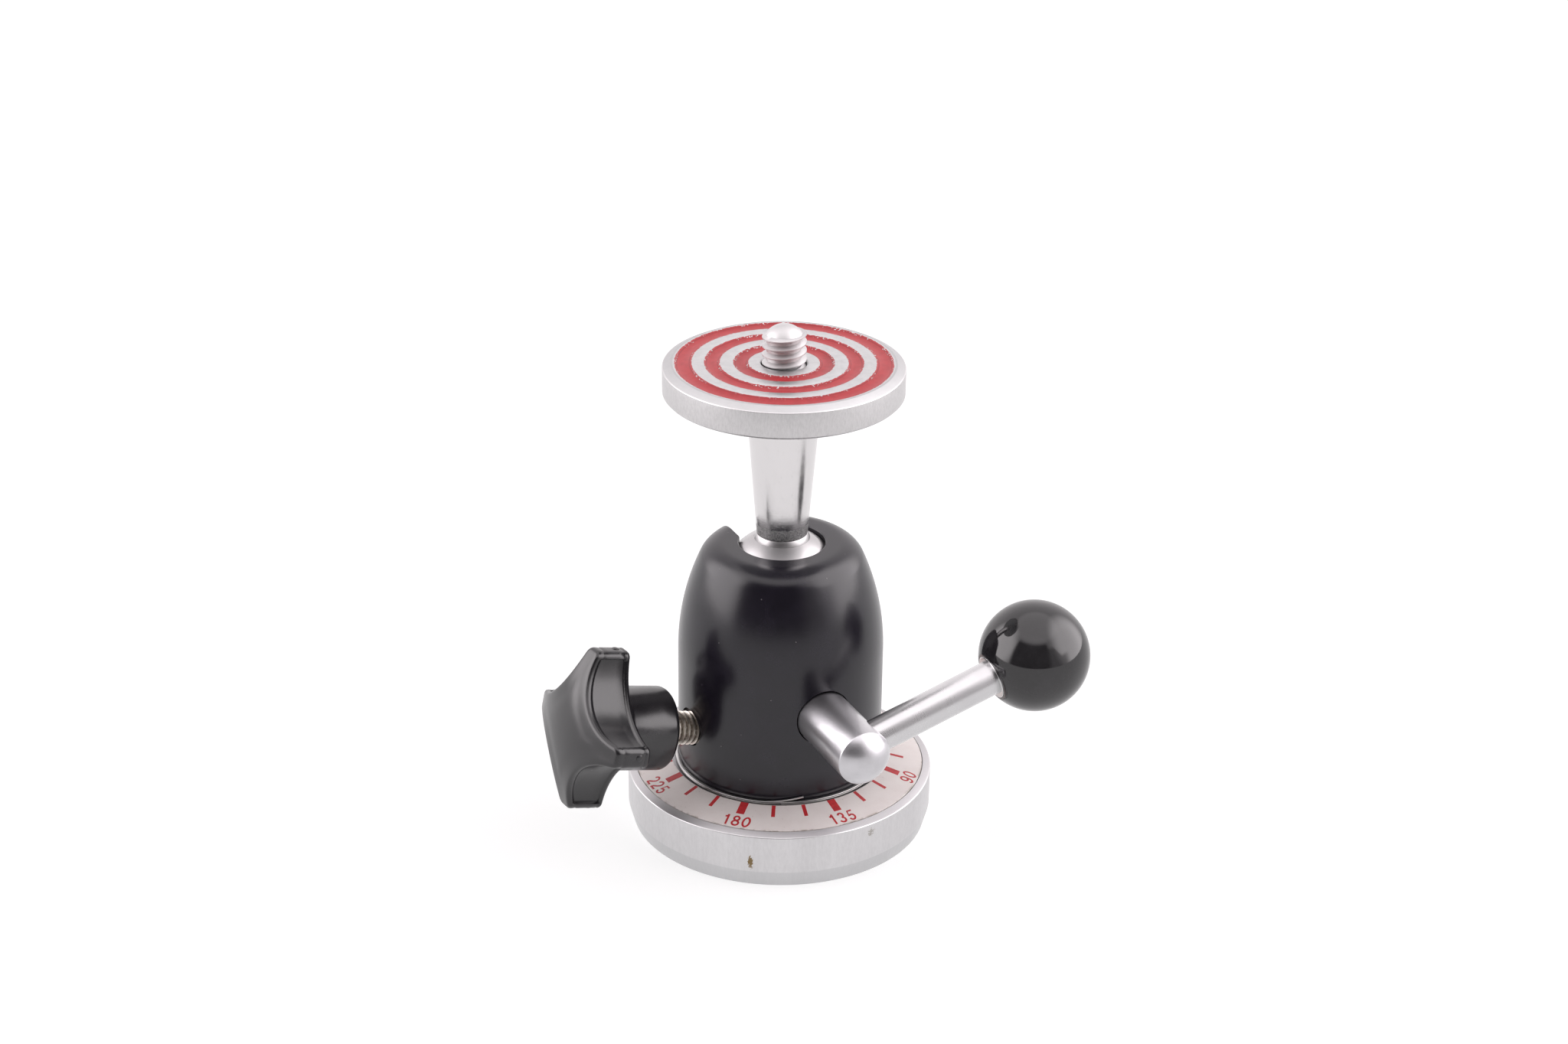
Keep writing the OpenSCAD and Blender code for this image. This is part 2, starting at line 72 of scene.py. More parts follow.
def select_only(piece):
    bpy.ops.object.select_all(action="DESELECT")
    piece.select_set(True)
    bpy.context.view_layer.objects.active = piece


def edit_all():
    """Opens the active piece for editing with all of it selected."""
    bpy.ops.object.mode_set(mode="EDIT")
    bpy.ops.mesh.select_all(action="SELECT")


def arc(centre_x, centre_y, radius, start, end, count):
    """Points of an arc, angles in degrees."""
    points = []
    for i in range(count + 1):
        a = math.radians(start + (end - start) * i / count)
        points.append((centre_x + radius * math.cos(a), centre_y + radius * math.sin(a)))
    return points


def soften(corners, closed=False):
    """Turns corners (x, y, rounding) into an outline whose corners are rounded."""
    outline = []
    count = len(corners)
    for i, corner in enumerate(corners):
        x, y = corner[0], corner[1]
        rounding = corner[2] if len(corner) > 2 else 0
        if not rounding or (not closed and i in (0, count - 1)):
            outline.append((x, y))
            continue
        here = Vector((x, y))
        back = (Vector(corners[i - 1][:2]) - here).normalized()
        ahead = (Vector(corners[(i + 1) % count][:2]) - here).normalized()
        half = back.angle(ahead) / 2
        reach = rounding / math.tan(half)
        centre = here + (back + ahead).normalized() * (rounding / math.sin(half))
        first = here + back * reach - centre
        last = here + ahead * reach - centre
        sweep = first.angle_signed(last)
        pieces = max(3, int(abs(math.degrees(sweep)) / 15))
        for k in range(pieces + 1):
            turned = Matrix.Rotation(-sweep * k / pieces, 2) @ first
            outline.append((centre.x + turned.x, centre.y + turned.y))
    return outline


def draw(name, outline, closed, flat=False):
    """Draws an outline by pulling one vertex along it, in XZ, or in XY when flat."""
    bpy.ops.object.select_all(action="DESELECT")
    bpy.ops.mesh.primitive_plane_add(size=MM, location=(0, 0, 0))
    piece = bpy.context.active_object
    piece.name = name
    piece.data.name = name
    bpy.ops.object.mode_set(mode="EDIT")
    bpy.ops.mesh.merge(type="CENTER")
    path = list(outline) + ([outline[0]] if closed else [])
    x, y = path[0]
    step = (x * MM, y * MM, 0) if flat else (x * MM, 0, y * MM)
    bpy.ops.transform.translate(value=step)
    for next_x, next_y in path[1:]:
        across, up = (next_x - x) * MM, (next_y - y) * MM
        step = (across, up, 0) if flat else (across, 0, up)
        bpy.ops.mesh.extrude_vertices_move(TRANSFORM_OT_translate={"value": step})
        x, y = next_x, next_y
    bpy.ops.mesh.select_all(action="SELECT")
    if closed:
        bpy.ops.mesh.remove_doubles(threshold=0.0002 * MM)
    return piece


def close_up():
    """Merges what touches, turns the faces outwards and ends the editing."""
    bpy.ops.mesh.select_all(action="SELECT")
    bpy.ops.mesh.remove_doubles(threshold=0.0005 * MM)
    bpy.ops.mesh.normals_make_consistent(inside=False)
    bpy.ops.object.mode_set(mode="OBJECT")


def turn(name, outline, closed=False, steps=192):
    """A turned piece: an outline of (radius, height) spun round Z."""
    piece = draw(name, outline, closed)
    bpy.ops.mesh.spin(steps=steps, angle=math.radians(360), center=(0, 0, 0), axis=(0, 0, 1))
    close_up()
    return piece


def place(piece, matrix):
    """Moves a finished piece to its axis and leaves its object at the origin."""
    select_only(piece)
    piece.matrix_world = matrix
    bpy.ops.object.transform_apply(location=True, rotation=True, scale=True)


def carve(piece, cutter, operation="DIFFERENCE"):
    """Cuts one piece with another, or joins it, and removes the second."""
    modifier = piece.modifiers.new("carve", "BOOLEAN")
    modifier.operation = operation
    modifier.object = cutter
    modifier.solver = "EXACT"
    select_only(piece)
    bpy.ops.object.modifier_apply(modifier=modifier.name)
    mesh = cutter.data
    bpy.data.objects.remove(cutter)
    bpy.data.meshes.remove(mesh)


def join(pieces, name):
    """Joins pieces into one and names it."""
    select_only(pieces[0])
    for piece in pieces:
        piece.select_set(True)
    bpy.ops.object.join()
    joined = bpy.context.active_object
    joined.name = joined.data.name = name
    return joined


def thread(name, root_r, crest_r, pitch, low_z, high_z):
    """A helical thread with flat crests and roots, cut off square at both ends."""
    flank_start, flank_end = 0.14 * pitch, 0.44 * pitch
    tooth = [(root_r, 0), (root_r, flank_start), (crest_r, flank_end), (crest_r, pitch - flank_end),
             (root_r, pitch - flank_start), (root_r, pitch)]
    piece = draw(name, tooth, closed=False)
    bpy.ops.transform.translate(value=(0, 0, (low_z - 2 * pitch) * MM))
    bpy.ops.object.mode_set(mode="OBJECT")
    modifier = piece.modifiers.new("helix", "SCREW")
    modifier.screw_offset = pitch * MM
    modifier.iterations = int((high_z - low_z) / pitch) + 4
    modifier.steps = modifier.render_steps = 72
    modifier.use_merge_vertices = True
    modifier.merge_threshold = 0.0005 * MM
    select_only(piece)
    bpy.ops.object.modifier_apply(modifier=modifier.name)
    bpy.ops.object.mode_set(mode="EDIT")
    for height, lower in ((low_z, True), (high_z, False)):
        bpy.ops.mesh.select_all(action="SELECT")
        bpy.ops.mesh.bisect(plane_co=(0, 0, height * MM), plane_no=(0, 0, 1), use_fill=True,
                            clear_inner=lower, clear_outer=not lower, threshold=0.0001 * MM)
    close_up()
    return piece


def smooth(piece, angle=32):
    select_only(piece)
    bpy.ops.object.shade_smooth_by_angle(angle=math.radians(angle))


def hand_over(piece, body, material, stands_for=(), angle=32):
    """Gives a piece its finish, its body and the nodes that it stands for."""
    smooth(piece, angle)
    piece.data.materials.clear()
    piece.data.materials.append(material)
    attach(piece, body)
    if stands_for:
        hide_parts(*stands_for)


# ---------------------------------------------------------------- finishes

def link_or_set(tree, socket, value):
    if isinstance(value, bpy.types.NodeSocket):
        tree.links.new(value, socket)
    else:
        socket.default_value = value


def node(tree, kind, inputs=None, **settings):
    """Adds a shader node; inputs maps a socket's name or number to a value or a socket."""
    made = tree.nodes.new("ShaderNode" + kind)
    for key, value in settings.items():
        setattr(made, key, value)
    for key, value in (inputs or {}).items():
        link_or_set(tree, made.inputs[key], value)
    return made


def maths(tree, operation, a, b=0.0, c=0.0):
    return node(tree, "Math", {0: a, 1: b, 2: c}, operation=operation).outputs[0]


def ramp(tree, value, low, high, out_low=0.0, out_high=1.0, kind="SMOOTHSTEP"):
    made = node(tree, "MapRange", {"Value": value, "From Min": low, "From Max": high, "To Min": out_low,
                                   "To Max": out_high}, interpolation_type=kind, clamp=True)
    return made.outputs[0]


def mix(tree, factor, a, b):
    """Mixes two colours."""
    made = node(tree, "Mix", data_type="RGBA")
    link_or_set(tree, made.inputs[0], factor)
    link_or_set(tree, made.inputs[6], a)
    link_or_set(tree, made.inputs[7], b)
    return made.outputs[2]


def noise(tree, vector, scale, detail=2.0, roughness=0.5):
    made = node(tree, "TexNoise", {"Vector": vector, "Scale": scale, "Detail": detail,
                                   "Roughness": roughness})
    return made.outputs["Fac"]


def bump(tree, height, strength, distance_mm, before=None):
    inputs = {"Height": height, "Strength": strength, "Distance": distance_mm * MM}
    if before is not None:
        inputs["Normal"] = before
    return node(tree, "Bump", inputs).outputs[0]


def finish(name, metallic, colour, roughness, **sockets):
    """A material with its shader's constant sockets set."""
    material = bpy.data.materials.new(name)
    material.use_nodes = True
    tree = material.node_tree
    shader = tree.nodes["Principled BSDF"]
    shader.inputs["Metallic"].default_value = metallic
    shader.inputs["Base Color"].default_value = (*colour, 1)
    shader.inputs["Roughness"].default_value = roughness
    for key, value in sockets.items():
        shader.inputs[key.replace("_", " ")].default_value = value
    return material, tree, shader


def own_axis(tree, matrix=None):
    """Object coordinates from a piece's own axis, and the radius, turn and height on it."""
    coordinates = node(tree, "TexCoord").outputs["Object"]
    if matrix is not None:
        mapping = node(tree, "Mapping", {"Vector": coordinates}, vector_type="TEXTURE")
        mapping.inputs["Location"].default_value = matrix.to_translation()
        mapping.inputs["Rotation"].default_value = matrix.to_euler()
        coordinates = mapping.outputs[0]
    split = node(tree, "SeparateXYZ", {0: coordinates})
    x, y, z = split.outputs
    flat = node(tree, "CombineXYZ", {0: x, 1: y, 2: 0.0})
    radius = node(tree, "VectorMath", {0: flat.outputs[0]}, operation="LENGTH").outputs["Value"]
    angle = maths(tree, "ARCTAN2", y, x)
    return coordinates, radius, angle, z


def turned_lines(tree, radius, height, width_mm, roughness=0.6):
    """Noise in fine rings round an axis, as a turning tool leaves."""
    rings = node(tree, "CombineXYZ", {0: radius, 1: 0.0, 2: height}).outputs[0]
    return noise(tree, rings, 1 / (width_mm * MM), 3, roughness)


def streaks_along(tree, angle, height, count, stretch=4.0):
    """Noise that changes round the axis and hardly along it."""
    around = node(tree, "CombineXYZ", {0: maths(tree, "SINE", angle), 1: maths(tree, "COSINE", angle),
                                       2: maths(tree, "MULTIPLY", height, stretch)}).outputs[0]
    return noise(tree, around, count, 5, 0.72)


def turned_metal(name, colour, roughness, matrix=None, line_mm=0.08, streak=0.0, stain=0.03, gleam=1.3):
    """Metal from a lathe: fine rings round the axis, faint streaks along it and slight stains.

    The tool marks scatter the light widely. Gleam is the index of the sharper sheen of their crests.
    """
    line_depth, dull, crest_roughness = 0.006, 0.1, 0.12
    material, tree, shader = finish(name, 1.0, colour, roughness, Coat_Weight=1.0, Coat_IOR=gleam,
                                    Coat_Roughness=crest_roughness)
    coordinates, radius, angle, height = own_axis(tree, matrix)
    lines = turned_lines(tree, radius, height, line_mm, 0.65)
    cloud = noise(tree, coordinates, 1 / (3.5 * MM), 4, 0.6)
    wear = noise(tree, coordinates, 1 / (0.5 * MM), 3, 0.7)
    rough = maths(tree, "MULTIPLY_ADD", lines, dull, roughness - dull / 2)
    rough = maths(tree, "MULTIPLY_ADD", ramp(tree, cloud, 0.35, 0.75), dull * 0.5, rough)
    tree.links.new(rough, shader.inputs["Roughness"])
    darker = [c * (1 - stain * 2.2) for c in colour]
    tint = mix(tree, ramp(tree, cloud, 0.3, 0.8), (*colour, 1), (*darker, 1))
    speck = ramp(tree, wear, 0.74, 0.8, 0.0, 0.4)
    tint = mix(tree, speck, tint, (*[c * 0.62 for c in colour], 1))
    tree.links.new(tint, shader.inputs["Base Color"])
    normal = bump(tree, lines, 0.5, line_depth)
    if streak:
        waves = streaks_along(tree, angle, height, 9.0)
        normal = bump(tree, waves, 1.0, streak, normal)
    tree.links.new(normal, shader.inputs["Normal"])
    return material


def spot(tree, coordinates, place_mm, reach_mm, stretch=(1, 1, 1)):
    """A soft round mask about a point, 1 at its middle."""
    off = node(tree, "VectorMath", {0: coordinates, 1: tuple(v * MM for v in place_mm)}, operation="SUBTRACT")
    off = node(tree, "VectorMath", {0: off.outputs[0], 1: stretch}, operation="MULTIPLY")
    away = node(tree, "VectorMath", {0: off.outputs[0]}, operation="LENGTH").outputs["Value"]
    return ramp(tree, away, 0.0, reach_mm * MM, 1.0, 0.0)


def machined_base(name):
    """Satin turned side with axial streaks, a foot chamfer and crown painted darker as painted shade, a
    rougher crown, a brown mark and a small dent.
    """
    light, dark = (0.68, 0.67, 0.68, 1), (0.60, 0.59, 0.60, 1)
    # Foot and crown greys: painted shade, darker than the side.
    foot_shade_grey, crown_shade_grey = (0.52, 0.52, 0.53, 1), (0.49, 0.48, 0.49, 1)
    brown, bruise = (0.30, 0.22, 0.12, 1), (0.40, 0.38, 0.36, 1)
    foot_top, crown_low = 2.6, 8.2
    mark_at, dent_at = (-13.09, -18.28, 4.1), (4.18, -22.1, 6.9)
    material, tree, shader = finish(name, 1.0, light[:3], 0.3)
    coordinates, radius, angle, height = own_axis(tree)
    broad = streaks_along(tree, angle, height, 5.0)
    fine = streaks_along(tree, angle, height, 60.0, 14.0)
    lines = turned_lines(tree, radius, height, 0.16)
    tone = maths(tree, "MULTIPLY_ADD", fine, 0.6, maths(tree, "MULTIPLY", broad, 0.5))
    tint = mix(tree, ramp(tree, tone, 0.35, 0.78), light, dark)
    # Painted shade: the foot chamfer is darker, standing for the shadowed floor close below it that it
    # reflects.
    foot = ramp(tree, height, (foot_top - 0.25) * MM, foot_top * MM, 0.55, 0.0)
    tint = mix(tree, foot, tint, foot_shade_grey)
    # Painted shade: the crown is painted darker to dim its bright reflection of the roof; it is also rougher.
    crown = ramp(tree, height, crown_low * MM, (crown_low + 0.1) * MM)
    tint = mix(tree, crown, tint, crown_shade_grey)
    flecks = noise(tree, coordinates, 1 / (0.22 * MM), 3, 0.6)
    mark = maths(tree, "MULTIPLY", spot(tree, coordinates, mark_at, 1.5, (1.9, 1.9, 0.7)), 0.66)
    mark = ramp(tree, maths(tree, "ADD", mark, flecks), 0.86, 0.92)
    dents = maths(tree, "MULTIPLY", spot(tree, coordinates, dent_at, 1.5), 0.5)
    dents = ramp(tree, maths(tree, "ADD", dents, flecks), 0.84, 0.92)
    tint = mix(tree, mark, tint, brown)
    tint = mix(tree, dents, tint, bruise)
    tree.links.new(tint, shader.inputs["Base Color"])
    rough = maths(tree, "MULTIPLY_ADD", fine, 0.14, maths(tree, "MULTIPLY_ADD", crown, 0.16, 0.26))
    rough = maths(tree, "MAXIMUM", rough, maths(tree, "MULTIPLY", mark, 0.7))
    tree.links.new(rough, shader.inputs["Roughness"])
    normal = bump(tree, lines, 0.35, 0.004)
    normal = bump(tree, fine, 0.8, 0.012, normal)
    normal = bump(tree, dents, 0.6, 0.03, normal)
    tree.links.new(normal, shader.inputs["Normal"])
    return material


def coated_black(name, colour, roughness, peel_mm=0.6, peel_depth=0.003, dust=0.0, scuffs=0.1, grain=0.0,
                 shine=0.5):
    """Paint or moulding: soft orange peel, specks of dust, faint scuffs; dust is the share of cells."""
    material, tree, shader = finish(name, 0.0, colour, roughness, Specular_IOR_Level=shine)
    coordinates = node(tree, "TexCoord").outputs["Object"]
    peel = noise(tree, coordinates, 1 / (peel_mm * MM), 2, 0.5)
    cloud = noise(tree, coordinates, 1 / (4.0 * MM), 5, 0.62)
    rough = maths(tree, "MULTIPLY_ADD", cloud, 0.10, roughness - 0.05)
    stretched = node(tree, "Mapping", {"Vector": coordinates, "Rotation": (0.5, 0.3, 0.8),
                                       "Scale": (1.0, 1.0, 0.06)}).outputs[0]
    hairs = ramp(tree, noise(tree, stretched, 1 / (0.10 * MM), 4, 0.7), 0.67, 0.74)
    rough = maths(tree, "MULTIPLY_ADD", hairs, 0.14 * scuffs, rough)
    base = mix(tree, ramp(tree, cloud, 0.35, 0.8), (*colour, 1), (*[c * 1.5 + 0.001 for c in colour], 1))
    if dust:
        cells = node(tree, "TexVoronoi", {"Vector": coordinates, "Scale": 1 / (1.8 * MM)})
        seed = node(tree, "SeparateColor", {0: cells.outputs["Color"]}).outputs
        near = ramp(tree, cells.outputs["Distance"], 0.026, 0.055, 1.0, 0.0)
        few = ramp(tree, seed[0], 1 - dust, 1.01 - dust)
        speck = maths(tree, "MULTIPLY", maths(tree, "MULTIPLY", near, few),
                      maths(tree, "MULTIPLY_ADD", seed[1], 0.5, 0.2))
        base = mix(tree, speck, base, (0.42, 0.40, 0.40, 1))
        rough = maths(tree, "MAXIMUM", rough, maths(tree, "MULTIPLY", speck, 0.8))
    tree.links.new(rough, shader.inputs["Roughness"])
    tree.links.new(base, shader.inputs["Base Color"])
    normal = bump(tree, peel, 0.35, peel_depth * 4)
    if grain:
        normal = bump(tree, noise(tree, coordinates, 1 / (0.12 * MM), 2, 0.6), 0.25, grain, normal)
    tree.links.new(normal, shader.inputs["Normal"])
    return material


def red_paint(name):
    """Enamel laid on by brush, with uneven cover."""
    thick_red, thin_red = (0.60, 0.026, 0.032, 1), (0.44, 0.014, 0.02, 1)
    material, tree, shader = finish(name, 0.0, (0.56, 0.022, 0.028), 0.42)
    coordinates = node(tree, "TexCoord").outputs["Object"]
    cloud = noise(tree, coordinates, 1 / (0.8 * MM), 4, 0.6)
    tint = mix(tree, ramp(tree, cloud, 0.3, 0.75), thick_red, thin_red)
    tree.links.new(tint, shader.inputs["Base Color"])
    tree.links.new(maths(tree, "MULTIPLY_ADD", cloud, 0.2, 0.34), shader.inputs["Roughness"])
    tree.links.new(bump(tree, cloud, 0.3, 0.02), shader.inputs["Normal"])
    return material


def dial_satin(name):
    """Warm anodised plate with a fine grain and brown grime in specks along its edges."""
    warm_light, warm_dark = (0.90, 0.84, 0.815, 1), (0.86, 0.79, 0.765, 1)
    grime_brown, fleck_brown = (0.24, 0.18, 0.12, 1), (0.30, 0.24, 0.17, 1)
    inner_edge = 16.3
    material, tree, shader = finish(name, 0.1, (0.89, 0.825, 0.80), 0.42)
    coordinates, radius, _, _ = own_axis(tree)
    grain = noise(tree, coordinates, 1 / (0.06 * MM), 3, 0.7)
    cloud = noise(tree, coordinates, 1 / (2.2 * MM), 4, 0.6)
    outer = ramp(tree, radius, (DIAL_OUT_R - 0.4) * MM, DIAL_OUT_R * MM, 0.0, 1.0)
    inner = ramp(tree, radius, (inner_edge - 0.2) * MM, inner_edge * MM, 1.0, 0.0)
    grime = maths(tree, "MULTIPLY", maths(tree, "MAXIMUM", outer, inner), ramp(tree, cloud, 0.48, 0.62))
    spots = noise(tree, coordinates, 1 / (0.3 * MM), 2, 0.5)
    fleck = maths(tree, "MULTIPLY", ramp(tree, spots, 0.70, 0.74), ramp(tree, cloud, 0.5, 0.6))
    tint = mix(tree, ramp(tree, cloud, 0.3, 0.8), warm_light, warm_dark)
    tint = mix(tree, maths(tree, "MULTIPLY", grime, 0.55), tint, grime_brown)
    tint = mix(tree, maths(tree, "MULTIPLY", fleck, 0.5), tint, fleck_brown)
    tree.links.new(tint, shader.inputs["Base Color"])
    tree.links.new(maths(tree, "MULTIPLY_ADD", grain, 0.2, 0.34), shader.inputs["Roughness"])
    tree.links.new(bump(tree, grain, 0.25, 0.003), shader.inputs["Normal"])
    return material


def painted_plate(name):
    """Silver plate whose hollow grooves are painted red, with ragged edges to the paint. Painted shade
    darkens the red along the groove walls and the silver of the rim's land and bevel.
    """
    top_light, top_dark = (0.60, 0.60, 0.605, 1), (0.53, 0.53, 0.535, 1)
    side_light, side_dark = (0.64, 0.63, 0.635, 1), (0.56, 0.55, 0.555, 1)
    # Painted shade: a darker grey on the rim's land and bevel.
    chamfer_shade_grey = (0.44, 0.44, 0.445, 1)
    # The third red is painted shade on the groove walls.
    red_light, red_dark, red_groove_shade = (0.50, 0.029, 0.037, 1), (0.42, 0.020, 0.027, 1), (0.30, 0.006, 0.012, 1)
    paint_bands = ((12.97, 15.39), (9.02, 11.20), (5.01, 7.13))
    chamfer_in, side_at = 15.5, 16.9
    material, tree, shader = finish(name, 1.0, (0.58, 0.58, 0.58), 0.4)
    coordinates, radius, angle, height = own_axis(tree)
    ragged = noise(tree, coordinates, 1 / (0.45 * MM), 4, 0.65)
    shift = maths(tree, "MULTIPLY_ADD", ragged, 0.4 * MM, -0.2 * MM)
    chips = noise(tree, coordinates, 1 / (0.3 * MM), 3, 0.6)
    patchy = noise(tree, coordinates, 1 / (2.5 * MM), 2, 0.5)
    chip = maths(tree, "MULTIPLY", ramp(tree, chips, 0.57, 0.61, 0.0, 0.4 * MM),
                 ramp(tree, patchy, 0.46, 0.56))
    paint, edge = None, None
    for inner, outer in paint_bands:
        middle, half = (inner + outer) / 2 * MM, (outer - inner) / 2 * MM
        off = maths(tree, "ABSOLUTE", maths(tree, "SUBTRACT", radius, middle))
        # Painted shade: a darker red line just inside both edges of each band, for the shadowed walls of the
        # groove.
        groove_wall_shade = maths(tree, "ABSOLUTE", maths(tree, "SUBTRACT", off, half - 0.3 * MM))
        groove_wall_shade = ramp(tree, groove_wall_shade, 0.0, 0.16 * MM, 1.0, 0.0)
        off = maths(tree, "ADD", maths(tree, "ADD", off, shift), chip)
        band = ramp(tree, off, half - 0.02 * MM, half + 0.02 * MM, 1.0, 0.0)
        paint = band if paint is None else maths(tree, "MAXIMUM", paint, band)
        edge = groove_wall_shade if edge is None else maths(tree, "MAXIMUM", edge, groove_wall_shade)
    above = ramp(tree, height, (PLATE_TOP_Z - 0.5) * MM, (PLATE_TOP_Z - 0.42) * MM)
    paint = maths(tree, "MULTIPLY", paint, above)
    cloud = noise(tree, coordinates, 1 / (1.2 * MM), 4, 0.6)
    lines = turned_lines(tree, radius, height, 0.09)
    brushed = streaks_along(tree, angle, height, 70.0, 20.0)
    top_tone = ramp(tree, cloud, 0.3, 0.8)
    on_side = ramp(tree, radius, side_at * MM, 17.05 * MM)
    tone = maths(tree, "ADD", maths(tree, "MULTIPLY", top_tone, maths(tree, "SUBTRACT", 1.0, on_side)),
                 maths(tree, "MULTIPLY", ramp(tree, brushed, 0.35, 0.7), on_side))
    silver = mix(tree, tone, top_light, top_dark)
    silver = mix(tree, on_side, silver, mix(tree, tone, side_light, side_dark))
    # Painted shade: the land and bevel at the rim are painted darker to dim their bright reflection; they are
    # also rougher.
    chamfer = maths(tree, "MULTIPLY", ramp(tree, radius, chamfer_in * MM, 15.7 * MM),
                    ramp(tree, radius, side_at * MM, 17.0 * MM, 1.0, 0.0))
    silver = mix(tree, maths(tree, "MULTIPLY", chamfer, 0.7), silver, chamfer_shade_grey)
    red = mix(tree, ramp(tree, cloud, 0.3, 0.75), red_light, red_dark)
    # Painted shade along the groove walls.
    red = mix(tree, maths(tree, "MULTIPLY", edge, 0.8), red, red_groove_shade)
    tree.links.new(mix(tree, paint, silver, red), shader.inputs["Base Color"])
    tree.links.new(maths(tree, "SUBTRACT", 1.0, paint), shader.inputs["Metallic"])
    rough = maths(tree, "MULTIPLY_ADD", chamfer, 0.14, maths(tree, "MULTIPLY_ADD", lines, 0.14, 0.34))
    tree.links.new(rough, shader.inputs["Roughness"])
    height_map = maths(tree, "ADD", maths(tree, "MULTIPLY", lines, 0.12), paint)
    normal = bump(tree, height_map, 0.5, 0.03)
    normal = bump(tree, maths(tree, "MULTIPLY", brushed, on_side), 0.5, 0.02, normal)
    tree.links.new(normal, shader.inputs["Normal"])
    return material


def scratched_stem(name):
    """Polished stem with fine scratches and a rough grey band at its foot."""
    metal_light, scratch_grey = (0.71, 0.695, 0.70, 1), (0.42, 0.41, 0.41, 1)
    band_dark, band_light = (0.25, 0.25, 0.255, 1), (0.66, 0.65, 0.65, 1)
    band_top = 48.5
    material, tree, shader = finish(name, 1.0, metal_light[:3], 0.2)
    coordinates, radius, _, height = own_axis(tree)
    cloud = noise(tree, coordinates, 1 / (1.6 * MM), 5, 0.65)
    lines = turned_lines(tree, radius, height, 0.12)
    slanted = node(tree, "Mapping", {"Vector": coordinates, "Rotation": (0.3, 0.9, 0.2),
                                     "Scale": (1.0, 1.0, 0.05)}).outputs[0]
    hairs = ramp(tree, noise(tree, slanted, 1 / (0.12 * MM), 4, 0.7), 0.64, 0.7)
    level = node(tree, "Mapping", {"Vector": coordinates, "Rotation": (0.06, 0.05, 0),
                                   "Scale": (0.12, 0.12, 1.0)}).outputs[0]
    nicks = ramp(tree, noise(tree, level, 1 / (0.10 * MM), 4, 0.7), 0.66, 0.72)
    nicks = maths(tree, "MULTIPLY", nicks, ramp(tree, cloud, 0.4, 0.6))
    ragged = maths(tree, "MULTIPLY_ADD", noise(tree, coordinates, 1 / (0.7 * MM), 4, 0.7), 0.9 * MM, height)
    band = ramp(tree, ragged, (band_top - 0.6) * MM, band_top * MM, 1.0, 0.0)
    mottled = noise(tree, coordinates, 1 / (0.25 * MM), 4, 0.75)
    grey = mix(tree, ramp(tree, mottled, 0.3, 0.7), band_dark, band_light)
    scratches = maths(tree, "MULTIPLY", maths(tree, "MAXIMUM", hairs, nicks), 0.4)
    metal = mix(tree, scratches, metal_light, scratch_grey)
    tree.links.new(mix(tree, band, metal, grey), shader.inputs["Base Color"])
    rough = maths(tree, "MULTIPLY_ADD", lines, 0.10, 0.13)
    rough = maths(tree, "MULTIPLY_ADD", ramp(tree, cloud, 0.4, 0.8), 0.08, rough)
    rough = maths(tree, "MAXIMUM", rough, maths(tree, "MULTIPLY", band, 0.45))
    tree.links.new(rough, shader.inputs["Roughness"])
    height_map = maths(tree, "SUBTRACT", lines, maths(tree, "ADD", hairs, nicks))
    normal = bump(tree, height_map, 0.4, 0.010)
    normal = bump(tree, cloud, 0.3, 0.03, normal)
    tree.links.new(normal, shader.inputs["Normal"])
    return material


def worn_nickel(name, matrix):
    """Plated screw with brown grime in its thread."""
    plating_light, plating_dark = (0.84, 0.79, 0.73, 1), (0.58, 0.54, 0.48, 1)
    grime_brown = (0.17, 0.14, 0.11, 1)
    root_r, crest_r = 2.05, 2.42
    material, tree, shader = finish(name, 1.0, (0.60, 0.56, 0.50), 0.35)
    coordinates, radius, _, _ = own_axis(tree, matrix)
    cloud = noise(tree, coordinates, 1 / (0.35 * MM), 4, 0.7)
    deep = ramp(tree, radius, root_r * MM, crest_r * MM, 1.0, 0.0)
    grime = maths(tree, "MULTIPLY", deep, ramp(tree, cloud, 0.3, 0.6, 0.45, 1.0))
    metal = mix(tree, cloud, plating_light, plating_dark)
    tree.links.new(mix(tree, grime, metal, grime_brown), shader.inputs["Base Color"])
    tree.links.new(maths(tree, "MULTIPLY_ADD", grime, 0.35, 0.32), shader.inputs["Roughness"])
    tree.links.new(bump(tree, cloud, 0.3, 0.02), shader.inputs["Normal"])
    return material


base_finish = machined_base("polished_base")
spindle_finish = turned_metal("turned_steel", (0.55, 0.55, 0.56), 0.3)
wire_finish = turned_metal("bright_wire", (0.60, 0.59, 0.58), 0.3, line_mm=0.3, stain=0.08)
shaft_finish = turned_metal("satin_shaft", (0.59, 0.58, 0.605), 0.36, SHAFT_FRAME, streak=0.006, stain=0.06,
                            gleam=1.6)
rod_finish = turned_metal("polished_rod", (0.60, 0.595, 0.605), 0.27, LEVER_FRAME, streak=0.006, gleam=1.5)
insert_finish = turned_metal("bright_insert", (0.66, 0.66, 0.66), 0.18, LEVER_FRAME)
ball_finish = turned_metal("polished_ball", (0.42, 0.41, 0.415), 0.40, line_mm=0.12, gleam=1.45)
screw_finish = turned_metal("bright_screw", (0.54, 0.53, 0.535), 0.54, line_mm=0.05, gleam=1.45)
brass_finish = turned_metal("bearing_brass", (0.66, 0.48, 0.20), 0.32)
housing_finish = coated_black("black_coat", (0.0095, 0.0078, 0.0135), 0.24, dust=0.36)
gloss_finish = coated_black("gloss_knob", (0.019, 0.018, 0.020), 0.075, peel_mm=2.5, peel_depth=0.002,
                            dust=0.04, shine=0.62)
moulded_finish = coated_black("moulded_knob", (0.0155, 0.0145, 0.0165), 0.23, peel_mm=0.7, dust=0.06,
                              scuffs=1.0, grain=0.002, shine=0.66)
